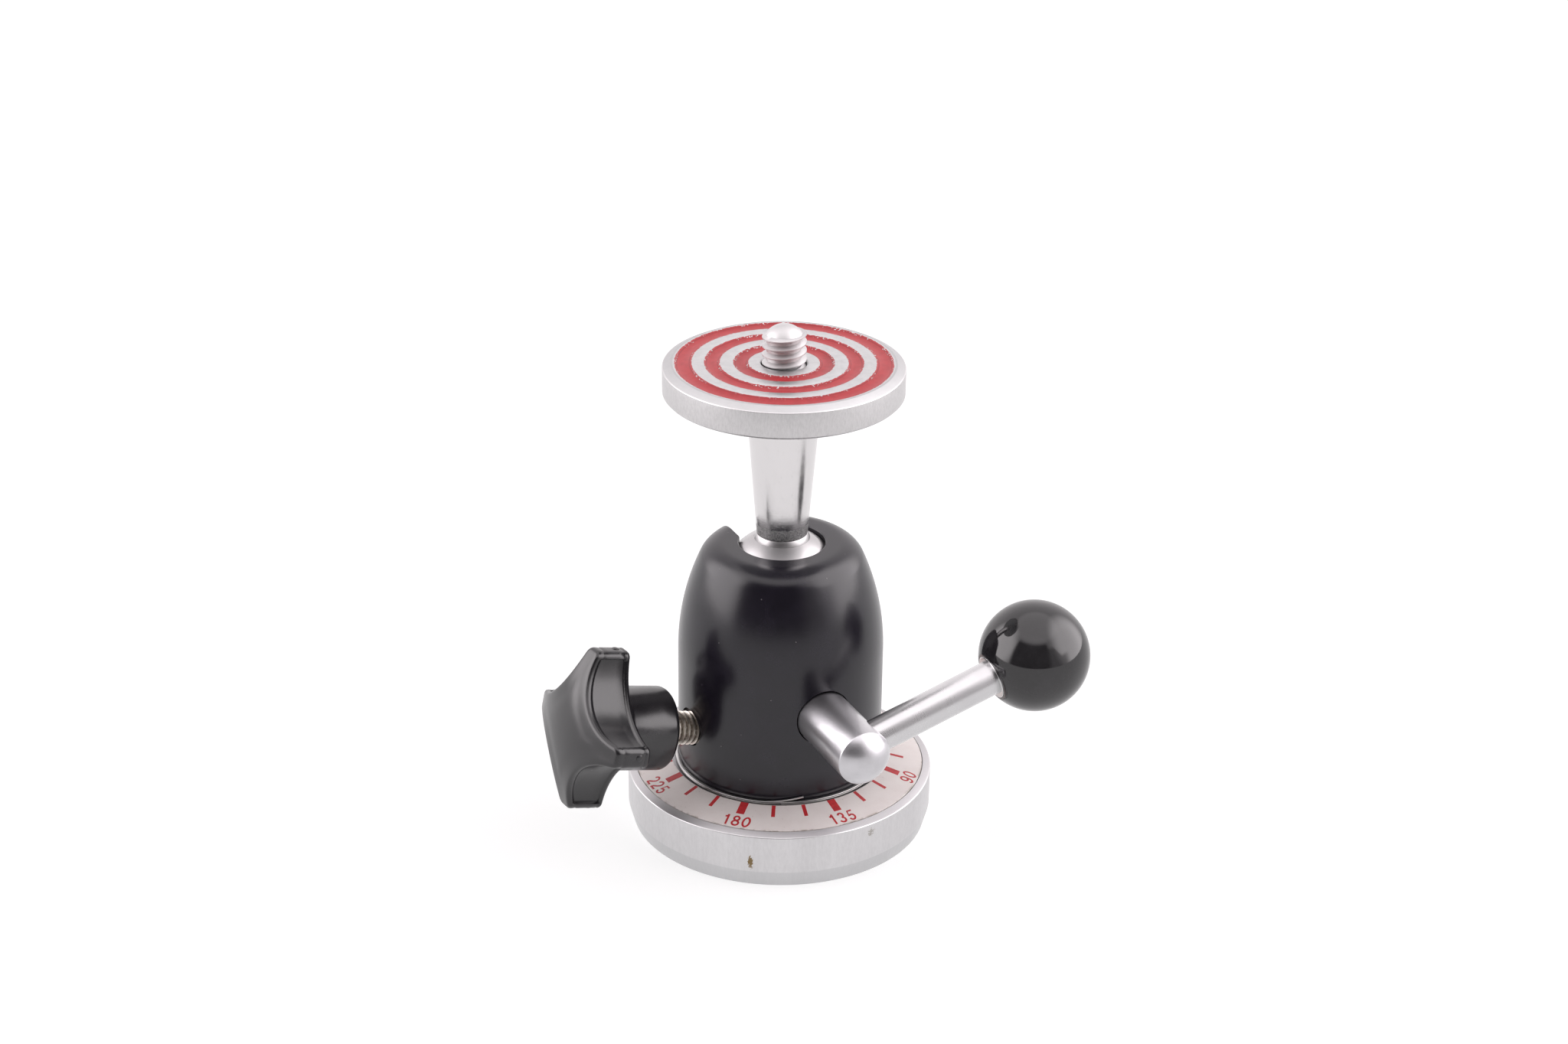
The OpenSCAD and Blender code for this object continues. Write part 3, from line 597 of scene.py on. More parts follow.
plastic_finish = coated_black("slippery_plastic", (0.80, 0.79, 0.75), 0.4)
mark_finish = red_paint("dial_red")
dial_finish = dial_satin("dial_satin")
plate_finish = painted_plate("painted_plate")
stem_finish = scratched_stem("scratched_stem")
stud_finish = worn_nickel("worn_nickel", LOCK_FRAME)


# ---------------------------------------------------------------- base and dial

def build_base():
    """The disc with its seat for the dial, and the dial plate on it."""
    bore_r, seat_r, seat_in_r, chamfer_z = 8.02, 21.34, 16.3, 2.6
    outline = soften([
        (bore_r, 0), (21.8, 0, 0.12), (BASE_R, chamfer_z, 0.25), (BASE_R, 8.2, 0.16), (seat_r, 8.68, 0.05),
        (seat_r, 8.06), (seat_in_r, 9.24), (seat_in_r, BASE_TOP_Z), (bore_r, BASE_TOP_Z)], closed=True)
    base = turn("base_body", outline, closed=True, steps=256)
    hand_over(base, "base", base_finish, ["base_disc"])

    in_r, out_r, thick = 16.08, 21.25, 0.6
    outline = soften([(in_r, dial_height(in_r) - thick), (out_r, 8.1), (out_r, dial_height(out_r), 0.06),
                      (in_r, dial_height(in_r), 0.07)], closed=True)
    dial = turn("dial_plate", outline, closed=True, steps=256)
    hand_over(dial, "base", dial_finish, ["dial_ring"])


def lay_on_dial(piece, turn_degrees):
    """Wraps a flat piece, drawn along +X at its own radius, onto the dial's cone."""
    for vertex in piece.data.vertices:
        radius, across, above = vertex.co
        angle = math.radians(turn_degrees) + across / radius
        height = dial_height(radius / MM) * MM + above
        vertex.co = (radius * math.cos(angle), radius * math.sin(angle), height)


# The dial's zero stands at this turn, and its degrees rise clockwise from there, seen from above.
DIAL_ZERO, ENAMEL_THICK = 47.0, 0.03


def build_marks():
    """One thin mark per 15 degrees and a bold one per 45 degrees, as shallow raised enamel."""
    marks = []
    for step in range(24):
        bold = step % 3 == 0
        inner, outer, width = (16.16, 18.5, 1.2) if bold else (16.2, 18.46, 0.55)
        bpy.ops.object.select_all(action="DESELECT")
        bpy.ops.mesh.primitive_cube_add(size=1)
        mark = bpy.context.active_object
        bpy.ops.object.mode_set(mode="EDIT")
        bpy.ops.transform.resize(value=((outer - inner) * MM, width * MM, ENAMEL_THICK * MM))
        bpy.ops.transform.translate(value=((outer + inner) / 2 * MM, 0, 0))
        bpy.ops.mesh.subdivide(number_cuts=3)
        bpy.ops.object.mode_set(mode="OBJECT")
        lay_on_dial(mark, DIAL_ZERO - 15 * step)
        marks.append(mark)
    hand_over(join(marks, "dial_marks"), "base", mark_finish)


def oval(x, y, radius_x, radius_y, start, end, count=12):
    """Points along an oval, angles in degrees."""
    return [(x + radius_x * px, y + radius_y * py) for px, py in arc(0, 0, 1, start, end, count)]


# Centre lines of the digits in a field 1 high: strokes, then the width that a digit takes.
DIGITS = {
    "0": ([oval(0.3, 0.5, 0.24, 0.435, 90, 450, 28)], 0.78),
    "1": ([[(0.08, 0.765), (0.18, 0.79), (0.26, 0.85), (0.29, 0.93)], [(0.3, 0), (0.3, 1)]], 0.66),
    "2": ([oval(0.29, 0.68, 0.215, 0.255, 172, -28, 14) + [(0.36, 0.4), (0.12, 0.2), (0.075, 0.065)],
           [(0.01, 0.065), (0.53, 0.065)]], 0.76),
    "3": ([oval(0.27, 0.72, 0.18, 0.215, 165, -90, 16), oval(0.27, 0.285, 0.215, 0.22, 90, -168, 18)], 0.76),
    "4": ([[(0.41, 0), (0.41, 0.97), (0.07, 0.3), (0.07, 0.27), (0.56, 0.27)]], 0.76),
    "5": ([[(0.49, 0.935), (0.15, 0.935), (0.09, 0.49)]
           + oval(0.28, 0.315, 0.215, 0.25, 132, -165, 18)], 0.76),
    "7": ([[(0.04, 0.935), (0.52, 0.935), (0.33, 0.6), (0.23, 0.3), (0.2, 0)]], 0.74),
    "8": ([oval(0.3, 0.735, 0.195, 0.2, 90, 450, 22), oval(0.3, 0.285, 0.235, 0.225, 90, 450, 24)], 0.77),
    "9": ([oval(0.29, 0.675, 0.215, 0.26, 0, 360, 24),
           [(0.505, 0.66), (0.505, 0.45), (0.47, 0.25), (0.39, 0.11), (0.27, 0.065), (0.15, 0.09),
            (0.08, 0.2)]], 0.76)}
DIGIT_HIGH, DIGIT_STROKE, DIGIT_IN_R, DIGIT_GAP, DIGIT_FLATNESS = 2.0, 0.31, 18.95, 0.18, 0.09


def build_numbers():
    """Degrees at each bold mark, as enamel strokes whose tops face the centre."""
    for step in range(8):
        degrees = step * 45
        text = str(degrees)
        width = sum(DIGITS[digit][1] for digit in text) - DIGIT_GAP
        strokes, start = [], -width / 2
        for digit in text:
            for line in DIGITS[digit][0]:
                points = [(DIGIT_IN_R + (1 - y) * DIGIT_HIGH, (start + x) * DIGIT_HIGH) for x, y in line]
                closed = math.dist(line[0], line[-1]) < 0.001
                stroke = draw("stroke", points[:-1] if closed else points, closed, flat=True)
                bpy.ops.object.mode_set(mode="OBJECT")
                bpy.ops.object.convert(target="CURVE")
                stroke = bpy.context.active_object
                stroke.data.bevel_depth = DIGIT_STROKE / 2 * MM
                stroke.data.bevel_resolution = 2
                stroke.data.use_fill_caps = True
                bpy.ops.object.convert(target="MESH")
                strokes.append(bpy.context.active_object)
            start += DIGITS[digit][1]
        label = join(strokes, f"dial_number_{degrees}")
        edit_all()
        bpy.ops.transform.resize(value=(1, 1, DIGIT_FLATNESS), center_override=(0, 0, 0))
        bpy.ops.mesh.normals_make_consistent(inside=False)
        bpy.ops.object.mode_set(mode="OBJECT")
        lay_on_dial(label, DIAL_ZERO - degrees)
        hand_over(label, "base", mark_finish, angle=60)


def build_wire():
    """Retaining ring of flat wire with two turns; its free end lifts off at the front."""
    inner, outer, low, thick = 15.08, 15.5, 9.55, 0.235
    start, steps, step = -114.2, 244, 3.0
    turn_climb, end_climb = 0.25, 0.5
    section = soften([(inner, low, 0.05), (outer, low, 0.07), (outer, low + thick, 0.07),
                      (inner, low + thick, 0.05)], closed=True)
    ring = draw("foot_wire", section, closed=True)
    bpy.ops.mesh.edge_face_add()
    turn_selection(start)
    for i in range(steps):
        turned = i * step
        climb = 0.0
        # Three steps climb over the turn below, and the last four lift the free end.
        if 351 <= turned < 360 or 711 <= turned < 720:
            climb = turn_climb / 3
        elif turned >= 720:
            climb = end_climb / 4
        bpy.ops.mesh.extrude_region_move(TRANSFORM_OT_translate={"value": (0, 0, climb * MM)})
        turn_selection(step)
    close_up()
    hand_over(ring, "base", wire_finish, ["foot_ring"], angle=50)


def turn_selection(degrees):
    """Turns what is selected anticlockwise round Z."""
    bpy.ops.transform.rotate(value=math.radians(degrees) * TURN_SIGN, orient_axis="Z",
                             center_override=(0, 0, 0))


# ---------------------------------------------------------------- housing

def housing_outline():
    """Foot chamfer, wall, dome, shoulder, mouth, the ball's seat and the bore, as (radius, height)."""
    dome_r, dome_z = 36.0, 27.5
    dome_x = HOUSING_R - dome_r
    shoulder_r, shoulder_x, shoulder_z = 3.9, 8.354, 40.5
    top_z, seat_r, bore_r, bush_r, bore_low = 44.4, 9.08, 9.35, 11.2, 12.4
    split = math.degrees(math.atan2(shoulder_z - dome_z, shoulder_x - dome_x))
    outline = [(14.45, HOUSING_FOOT_Z), (14.56, 9.46)]
    outline += [(HOUSING_R, z) for z in (10.3, 11.2, 14, 18, 22, 25)]
    outline += arc(dome_x, dome_z, dome_r, 0, split, 26)
    outline += arc(shoulder_x, shoulder_z, shoulder_r, split, 90, 14)[1:]
    outline += [(7.4, top_z), (6.42, top_z), (6.27, 44.27), (6.25, 43.6)]
    outline += arc(0, BALL_Z, seat_r, 46, 8, 16)
    outline += [(bore_r, z) for z in (37.6, 30, 22, bore_low)]
    return outline + [(bush_r, bore_low), (bush_r, HOUSING_FOOT_Z)]


def build_housing():
    """Black shell with its tilt notch and its three bores."""
    housing = turn("housing_shell", housing_outline(), closed=True, steps=224)
    # The notch: a round-bottomed slot from the ball's centre up through the back wall.
    slot_r, slot_top, slot_deep = 5, 60, 30
    outline = [(slot_r, slot_top), (slot_r, BALL_Z)] + arc(0, BALL_Z, slot_r, 0, -180, 40)[1:]
    slot = draw("slot_cutter", outline + [(-slot_r, slot_top)], closed=True)
    bpy.ops.mesh.edge_face_add()
    bpy.ops.mesh.extrude_region_move(TRANSFORM_OT_translate={"value": (0, slot_deep * MM, 0)})
    close_up()
    carve(housing, slot)
    # Each bore runs along its own axis; the front ones end in a countersink.
    shaft_bore_r, lock_bore_r, journal_bore_r, past_wall = 4.17, 2.62, 3.05, 20
    shaft_bore = [(0, 4), (shaft_bore_r, 4), (shaft_bore_r, 14.8), (4.4, 15.05), (4.4, past_wall),
                  (0, past_wall)]
    lock_bore = [(0, 5), (lock_bore_r, 5), (lock_bore_r, 14.9), (2.95, 15.35), (2.95, past_wall),
                 (0, past_wall)]
    journal_bore = [(0, -12.85), (journal_bore_r, -12.85), (journal_bore_r, -4), (0, -4)]
    for outline, steps, axis in ((shaft_bore, 96, SHAFT_FRAME), (lock_bore, 64, LOCK_FRAME),
                                 (journal_bore, 64, SHAFT_FRAME)):
        cutter = turn("bore_cutter", outline, steps=steps)
        place(cutter, axis)
        carve(housing, cutter)
    hand_over(housing, "housing", housing_finish, ["housing"], angle=35)


# ---------------------------------------------------------------- clamp

def build_shaft():
    """Clamp shaft: domed front end, keeper groove, hole for the rod, cam and rear journal."""
    dome_h, edge_r = 2.0, 3.93
    sphere_r = (SHAFT_R ** 2 + dome_h ** 2) / (2 * dome_h)
    reach = math.degrees(math.asin(edge_r / sphere_r))
    groove_r, shaft_start = 3.4, 9.7
    outline = [(0, shaft_start), (SHAFT_R, shaft_start), (SHAFT_R, 11.7), (groove_r, 11.72),
               (groove_r, 13.78)]
    outline += [(SHAFT_R, along) for along in (13.8, 16, 20, 24, 27.5)] + [(3.985, 27.62)]
    outline += arc(0, SHAFT_REACH - sphere_r, sphere_r, 90 - reach, 90, 24)
    shaft = turn("shaft_bar", outline, steps=160)
    place(shaft, SHAFT_FRAME)
    hole_r = ROD_R + 0.06
    hole = turn("rod_hole", [(0, -1), (hole_r, -1), (hole_r, 6), (0, 6)], steps=64)
    place(hole, LEVER_FRAME)
    carve(shaft, hole)
    cam_lift, cam_start, cam_end = 0.5, -8.5, 9.9
    outline = soften([(0, cam_start), (JOURNAL_R, cam_start, 0.1), (JOURNAL_R, cam_end), (0, cam_end)])
    cam = turn("cam", outline, steps=96)
    place(cam, Matrix.Translation((0, 0, cam_lift * MM)) @ SHAFT_FRAME)
    carve(shaft, cam, "UNION")
    journal_end = -12.75
    outline = soften([(0, journal_end), (JOURNAL_R, journal_end, 0.3), (JOURNAL_R, -7), (0, -7)])
    journal = turn("journal", outline, steps=96)
    place(journal, SHAFT_FRAME)
    carve(shaft, journal, "UNION")
    hand_over(shaft, "lever", shaft_finish, ["clamp_shaft"])


def build_lever():
    """Rod, and the ball knob on it with its bright insert."""
    rod_start = -1.8
    outline = soften([(0, rod_start), (2.4, rod_start, 0.2), (ROD_R, 3), (ROD_R, 10), (ROD_R, 18),
                      (ROD_R, ROD_END, 0.2), (0, ROD_END)])
    rod = turn("lever_bar", outline, steps=96)
    place(rod, LEVER_FRAME)
    hand_over(rod, "lever", rod_finish, ["lever_rod"])

    knob_r, knob_at, flat_r, bore_r, bore_end = 8, 29.8, 3.6, 3.22, 31.0
    flat_z = knob_at - math.sqrt(knob_r ** 2 - flat_r ** 2)
    start = -math.degrees(math.acos(3.75 / knob_r))
    outline = [(bore_r, bore_end), (bore_r, flat_z + 0.02), (3.55, flat_z)]
    outline += arc(0, knob_at, knob_r, start, 90, 60)
    outline += [(0, bore_end)]
    knob = turn("lever_ball", outline, steps=160)
    place(knob, LEVER_FRAME)
    hand_over(knob, "lever", gloss_finish, ["ball_knob"])

    in_r, out_r, front, back = ROD_R + 0.02, 3.2, flat_z - 0.12, flat_z + 7.8
    outline = soften([(in_r, front), (out_r, front, 0.08), (out_r, back), (in_r, back)], closed=True)
    insert = turn("knob_bushing", outline, closed=True, steps=96)
    place(insert, LEVER_FRAME)
    hand_over(insert, "lever", insert_finish, ["ball_knob_insert"])


# ---------------------------------------------------------------- lock knob

# Places along the screw's axis, the lobes' thickness and the dome's rise above their tips.
HUB_START, KNOB_BACK, LOBE_T, DOME_RISE, KNOB_R = 20.3, 28.2, 5.46, 2.74, 12.0
HUB_R, HUB_ROOT = 6.1, KNOB_BACK + 2
# A blunt tip's corners have centres at (TIP_X, TIP_Y) and (TIP_X, -TIP_Y), a hollow's at VALLEY_C twice.
TIP_X, TIP_Y, TIP_R = 11.0, 0.6, 1.0
VALLEY_C, VALLEY_R = 12.556, 11.057
LOBE_TURN = 4.0

# Shares of the way along a hollow flank; the panel in the flank lies between its raised ends.
FLANK_ENDS = [0.004, 0.010, 0.016, 0.032, 0.06]
FLANK_SHARES = FLANK_ENDS + [0.1 + 0.8 * k / 30 for k in range(31)]
FLANK_SHARES += [1 - share for share in FLANK_ENDS[::-1]]
CORNER_STEPS = 7
QUARTER_POINTS = 2 * (CORNER_STEPS + 1) + len(FLANK_SHARES)
KNOB_POINTS = 4 * QUARTER_POINTS

# Rows over the grip, from the middle of its back to the middle of its face:
# share of the way to the face, height from there, inset, depth of the hollow panel, scale.
KNOB_ROWS = [
    (0, 0, 0.97, 0, 0.0001), (0, 0, 0.97, 0, 0.4), (0, 0, 0.97, 0, 0.75), (0, 0, 0.97, 0, 1),
    (0, 0, 0.85, 0, 1), (0, 0.02, 0.7, 0, 1), (0, 0.1, 0.45, 0, 1), (0, 0.24, 0.22, 0, 1),
    (0, 0.44, 0.06, 0, 1), (0, 0.64, 0, 0, 1),
    (0, 0.82, 0.02, 0.08, 1), (0, 0.95, 0.05, 0.22, 1), (0, 1.03, 0.06, 0.36, 1), (0, 1.12, 0, 0.46, 1),
    (0.25, 0.62, 0, 0.46, 1), (0.5, 0, 0, 0.46, 1), (0.75, -0.62, 0, 0.46, 1), (1, -1.4, 0, 0.46, 1),
    (1, -1.28, 0.05, 0.4, 1), (1, -1.12, 0.06, 0.27, 1), (1, -0.94, 0.03, 0.12, 1), (1, -0.76, 0.01, 0.03, 1),
    (1, -0.52, 0, 0, 1), (1, -0.32, 0.02, 0, 1), (1, -0.18, 0.07, 0, 1), (1, -0.09, 0.15, 0, 1),
    (1, -0.03, 0.25, 0, 1), (1, 0, 0.37, 0, 1), (1, 0, 0.6, 0, 1), (1, 0, 0.85, 0, 1)]
KNOB_ROWS += [(1, 0, 0.85, 0, k / 14 or 0.0001) for k in range(13, -1, -1)]


def knob_point(k, inset, recess, scale):
    """Point k of the grip's outline: blunt tips joined by hollow arcs that touch their corners."""
    quarter, k = divmod(k, QUARTER_POINTS)
    meet = math.atan2(VALLEY_C - TIP_Y, VALLEY_C - TIP_X)
    side, k_side = divmod(k, CORNER_STEPS + 1)
    if side < 2:
        a = meet * (k_side / CORNER_STEPS - 1 + side)
        x = TIP_X + (TIP_R - inset) * math.cos(a)
        y = (2 * side - 1) * TIP_Y + (TIP_R - inset) * math.sin(a)
    else:
        share = FLANK_SHARES[k - 2 * (CORNER_STEPS + 1)]
        a = math.pi + meet - (2 * meet - math.pi / 2) * share
        in_panel = min(1.0, max(0.0, min(share, 1 - share) / 0.009 - 0.6))
        radius = VALLEY_R + inset + recess * in_panel
        x, y = VALLEY_C + radius * math.cos(a), VALLEY_C + radius * math.sin(a)
    turned = math.radians(90 * quarter)
    return (scale * (x * math.cos(turned) - y * math.sin(turned)),
            scale * (x * math.sin(turned) + y * math.cos(turned)))


def knob_face(x, y):
    """Height of the domed face above the lobe tips, with a faint trough along its hollow edges."""
    sphere_r = (KNOB_R ** 2 + DOME_RISE ** 2) / (2 * DOME_RISE)
    height = DOME_RISE - sphere_r + math.sqrt(sphere_r ** 2 - x * x - y * y)
    gap = math.hypot(abs(x) - VALLEY_C, abs(y) - VALLEY_C) - VALLEY_R
    return height - 0.06 * math.exp(-((gap - 2.0) / 1.0) ** 2)


def build_grip():
    """The lobed grip as one closed skin of rows, from the middle of its back to that of its face."""
    bpy.ops.object.select_all(action="DESELECT")
    bpy.ops.mesh.primitive_circle_add(vertices=KNOB_POINTS, radius=10 * MM, fill_type="NOTHING")
    grip = bpy.context.active_object
    grip.name = grip.data.name = "lobed_grip"
    edit_all()
    for _ in KNOB_ROWS[1:]:
        bpy.ops.mesh.extrude_region_move(TRANSFORM_OT_translate={"value": (0, 0, MM)})
    bpy.ops.object.mode_set(mode="OBJECT")
    for vertex in grip.data.vertices:
        share, offset, inset, recess, scale = KNOB_ROWS[round(vertex.co.z / MM)]
        k = round(math.atan2(vertex.co.y, vertex.co.x) / (2 * math.pi) * KNOB_POINTS) % KNOB_POINTS
        x, y = knob_point(k, inset, recess, scale)
        height = KNOB_BACK + offset + share * (LOBE_T + knob_face(x, y))
        vertex.co = (x * MM, y * MM, height * MM)
    select_only(grip)
    edit_all()
    bpy.ops.mesh.remove_doubles(threshold=0.0025 * MM)
    bpy.ops.mesh.normals_make_consistent(inside=False)
    bpy.ops.object.mode_set(mode="OBJECT")
    return grip


def build_lock_knob():
    """Grip with a moulding nub on each tip and the hub that grows into its back, and the screw."""
    grip = build_grip()
    for quarter in range(4):
        nub = turn("moulding_nub", [(0, -0.3), (0.62, -0.3), (0.5, 0.06), (0.3, 0.15), (0, 0.18)], steps=20)
        across = (Matrix.Translation((KNOB_R * MM, 0.25 * MM, (KNOB_BACK + 1.9) * MM))
                  @ Matrix.Rotation(math.pi / 2, 4, "Y"))
        place(nub, Matrix.Rotation(math.pi / 2 * quarter, 4, "Z") @ across)
        carve(grip, nub, "UNION")
    hole_r, hole_end = 2.62, 28.6
    outline = soften([(0, hole_end), (hole_r, hole_end), (hole_r, HUB_START + 0.5), (3.1, HUB_START, 0.12),
                      (HUB_R, HUB_START, 0.9), (HUB_R, 23), (HUB_R, KNOB_BACK - 0.4),
                      (6.35, KNOB_BACK + 0.2), (4, HUB_ROOT), (0, HUB_ROOT)])
    hub = turn("grip_hub", outline, steps=128)
    carve(grip, hub, "UNION")
    select_only(grip)
    edit_all()
    bpy.ops.mesh.fill_holes(sides=6)
    close_up()
    place(grip, LOCK_FRAME @ Matrix.Rotation(math.radians(LOBE_TURN), 4, "Z"))
    hand_over(grip, "lock_knob", moulded_finish, ["lobed_knob"], angle=40)

    stud = thread("lock_screw", 2.03, 2.47, 0.8, 11.4, 20.9)
    core_r, core_start, core_end = 1.9, 10.94, 28.18
    outline = soften([(0, core_start), (core_r, core_start, 0.1), (core_r, core_end, 0.1), (0, core_end)])
    core = turn("lock_screw_core", outline, steps=48)
    carve(stud, core, "UNION")
    place(stud, LOCK_FRAME)
    hand_over(stud, "lock_knob", stud_finish, ["lock_stud"])


def build_spindle():
    """Pan spindle: tapped hole, neck under the bush, and the cone that the brake pad meets squarely."""
    hole_r, deep, chamfer = 4.0, 9.0, 0.7
    neck_r, neck_top, flange_r, flange_top, cone_r, cone_high = 7, 12.49, 8.9, 13.09, 8.66, 4.2
    tip_r, tip_z = cone_r - cone_high * math.tan(math.radians(LOCK_RISE)), 17.29
    outline = soften([
        (0, deep + hole_r * math.tan(math.radians(30))), (hole_r, deep), (hole_r, chamfer),
        (hole_r + chamfer, 0), (SPINDLE_R, 0), (SPINDLE_R, BASE_TOP_Z), (neck_r, BASE_TOP_Z),
        (neck_r, neck_top), (flange_r, neck_top, 0.06), (flange_r, flange_top, 0.06), (cone_r, flange_top),
        (tip_r, tip_z, 0.1), (0, tip_z)])
    spindle = turn("spindle_body", outline, steps=128)
    tap_pitch = 25.4 / 16
    tap = thread("tap", 3.9, 4.72, tap_pitch, -0.6, 8.2)
    carve(spindle, tap)
    hand_over(spindle, "base", spindle_finish, ["pan_spindle"])


def dress_inner_nodes():
    """Inner pieces keep their solids and get a finish."""
    for name, material in (("slip_washer", plastic_finish), ("housing_bush", brass_finish),
                           ("shaft_keeper_pin", spindle_finish), ("pressure_cup", brass_finish),
                           ("wear_plate", spindle_finish), ("brake_pad", plastic_finish)):
        inner = bpy.data.objects[name]
        inner.material_slots[0].material = material


# ---------------------------------------------------------------- ball, stem, plate and screw

def build_ball():
    """Ball with a short cone up to the stem and a bore for the stem's peg."""
    neck_r, bore_r, bore_low, neck_top = 4.05, 2.52, 36.5, 45.94
    start = math.degrees(math.acos(neck_r / BALL_R))
    outline = arc(0, BALL_Z, BALL_R, -90, start, 72)
    outline += soften([(neck_r, 45.15), (STEM_FOOT_R, neck_top, 0.05), (bore_r, neck_top)])
    outline += [(bore_r, bore_low), (0, bore_low)]
    ball = turn("steel_ball", outline, steps=160)
    hand_over(ball, "ball", ball_finish, ["ball"])


def build_stem():
    """Peg, taper up to the plate, seat in the plate and the bore for the camera screw."""
    peg_r, peg_low, taper, top_r, seat_top = 2.45, 36.95, 0.082, 5.43, 70.3
    bore_r, bore_low = SCREW_R + 0.02, 60.5
    outline = soften([(0, peg_low), (peg_r, peg_low, 0.2), (peg_r, STEM_FOOT_Z),
                      (STEM_FOOT_R, STEM_FOOT_Z, 0.04), (STEM_FOOT_R + taper * 10, STEM_FOOT_Z + 10),
                      (top_r, PLATE_LOW_Z), (STEM_SEAT_R, PLATE_LOW_Z), (STEM_SEAT_R, seat_top),
                      (bore_r, seat_top), (bore_r, bore_low), (0, bore_low)])
    stem = turn("tapered_stem", outline, steps=160)
    hand_over(stem, "head", stem_finish, ["stem"])


def build_plate():
    """Round plate with chamfered edges and three hollow grooves."""
    seat_r, seat_top, hole_r, hole_edge = STEM_SEAT_R + 0.02, 70.4, 3.25, 0.15
    groove_diameters, half, depth = (30.8, 22.4, 14.2), 1.1, 0.3
    outline = [(seat_r, PLATE_LOW_Z)]
    outline += soften([(8, PLATE_LOW_Z), (PLATE_R - 0.3, PLATE_LOW_Z, 0.05),
                       (PLATE_R, PLATE_LOW_Z + 0.32, 0.06), (PLATE_R, 71.5, 0.12),
                       (15.9, PLATE_TOP_Z, 0.1), (15.4, PLATE_TOP_Z)])[1:]
    for diameter in groove_diameters:
        middle = diameter / 2 - half
        groove_r = (half ** 2 + depth ** 2) / (2 * depth)
        spread = math.degrees(math.asin(half / groove_r))
        outline += arc(middle, PLATE_TOP_Z + groove_r - depth, groove_r, -90 + spread, -90 - spread, 10)
    outline += [(hole_r + hole_edge, PLATE_TOP_Z), (hole_r, PLATE_TOP_Z - hole_edge), (hole_r, seat_top),
                (seat_r, seat_top)]
    plate = turn("camera_table", outline, closed=True, steps=256)
    hand_over(plate, "head", plate_finish, ["camera_plate"])


def build_camera_screw():
    """Thread of 20 turns to the inch on a plain shank, with a domed tip."""
    screw = thread("thread_end", 2.52, 3.14, 25.4 / 20, 70.9, 76.5)
    shank_low, rise, rim_r, rim_z = 60.6, 1.35, 2.6, 76.4
    sphere_r = (rim_r ** 2 + rise ** 2) / (2 * rise)
    start = math.degrees(math.atan2(sphere_r - rise, rim_r))
    outline = [(0, shank_low), (SCREW_R, shank_low), (SCREW_R, 71), (SCREW_R, 76.0), (rim_r, 76.3)]
    outline += arc(0, rim_z + rise - sphere_r, sphere_r, start, 90, 16)
    tip = turn("screw_tip", outline, steps=96)
    carve(screw, tip, "UNION")
    hand_over(screw, "head", screw_finish, ["camera_screw"])


build_base()
build_spindle()
build_marks()
build_numbers()
build_wire()
build_housing()
build_shaft()
build_lever()
build_lock_knob()
dress_inner_nodes()
build_ball()
build_stem()
build_plate()
build_camera_screw()


# ---------------------------------------------------------------- camera, floor and light

def put_camera():
    """The photograph's own camera, found from the round edges of the object."""
    right = Vector((0.90452725, -0.42626205, 0.01145058))
    up = Vector((0.17165481, 0.38856973, 0.90528901))
    ahead = Vector((0.39033969, 0.81689303, -0.42464184))
    stand = Vector((-0.16008333, -0.33562168, 0.22181647))
    focal_pixels, photo_width = 3739.8, 2048
    data = bpy.data.cameras.new("photo_camera")
    data.sensor_width = 36.0
    data.sensor_fit = "HORIZONTAL"
    data.lens = focal_pixels / photo_width * data.sensor_width
    data.clip_start = 0.01
    camera = bpy.data.objects.new("photo_camera", data)
    bpy.context.scene.collection.objects.link(camera)
    camera.matrix_world = Matrix((
        (right.x, up.x, -ahead.x, stand.x),
        (right.y, up.y, -ahead.y, stand.y),
        (right.z, up.z, -ahead.z, stand.z),
        (0, 0, 0, 1)))
    bpy.context.scene.camera = camera


def lay_floor():
    """White floor that glows to the camera and in mirrors, and takes soft shadows."""
    glow_in_mirrors, glow_to_camera, glow_share = 1.15, 1.30, 0.55
    floor_radius, inner_radius = 3.0, 0.4
    bpy.ops.object.select_all(action="DESELECT")
    bpy.ops.mesh.primitive_circle_add(vertices=96, radius=floor_radius, fill_type="NGON", location=(0, 0, 0))
    floor = bpy.context.active_object
    floor.name = floor.data.name = "studio_floor"
    edit_all()
    bpy.ops.mesh.inset(thickness=floor_radius - inner_radius)
    bpy.ops.object.mode_set(mode="OBJECT")
    material = bpy.data.materials.new("white_floor")
    material.use_nodes = True
    tree = material.node_tree
    shader = tree.nodes["Principled BSDF"]
    shader.inputs["Base Color"].default_value = (0.86, 0.855, 0.86, 1)
    shader.inputs["Roughness"].default_value = 0.9
    shader.inputs["Specular IOR Level"].default_value = 0.0
    rays = node(tree, "LightPath")
    strength = ramp(tree, rays.outputs["Is Camera Ray"], 0, 1, glow_in_mirrors, glow_to_camera, "LINEAR")
    glow = node(tree, "Emission", {"Color": (1, 1, 1, 1), "Strength": strength})
    seen = maths(tree, "MAXIMUM", rays.outputs["Is Camera Ray"],
                 maths(tree, "MAXIMUM", rays.outputs["Is Glossy Ray"], rays.outputs["Is Transmission Ray"]))
    blend = node(tree, "MixShader", {0: maths(tree, "MULTIPLY", seen, glow_share), 1: shader.outputs[0],
                                     2: glow.outputs[0]})
    tree.links.new(blend.outputs[0], tree.nodes["Material Output"].inputs["Surface"])
    floor.data.materials.append(material)


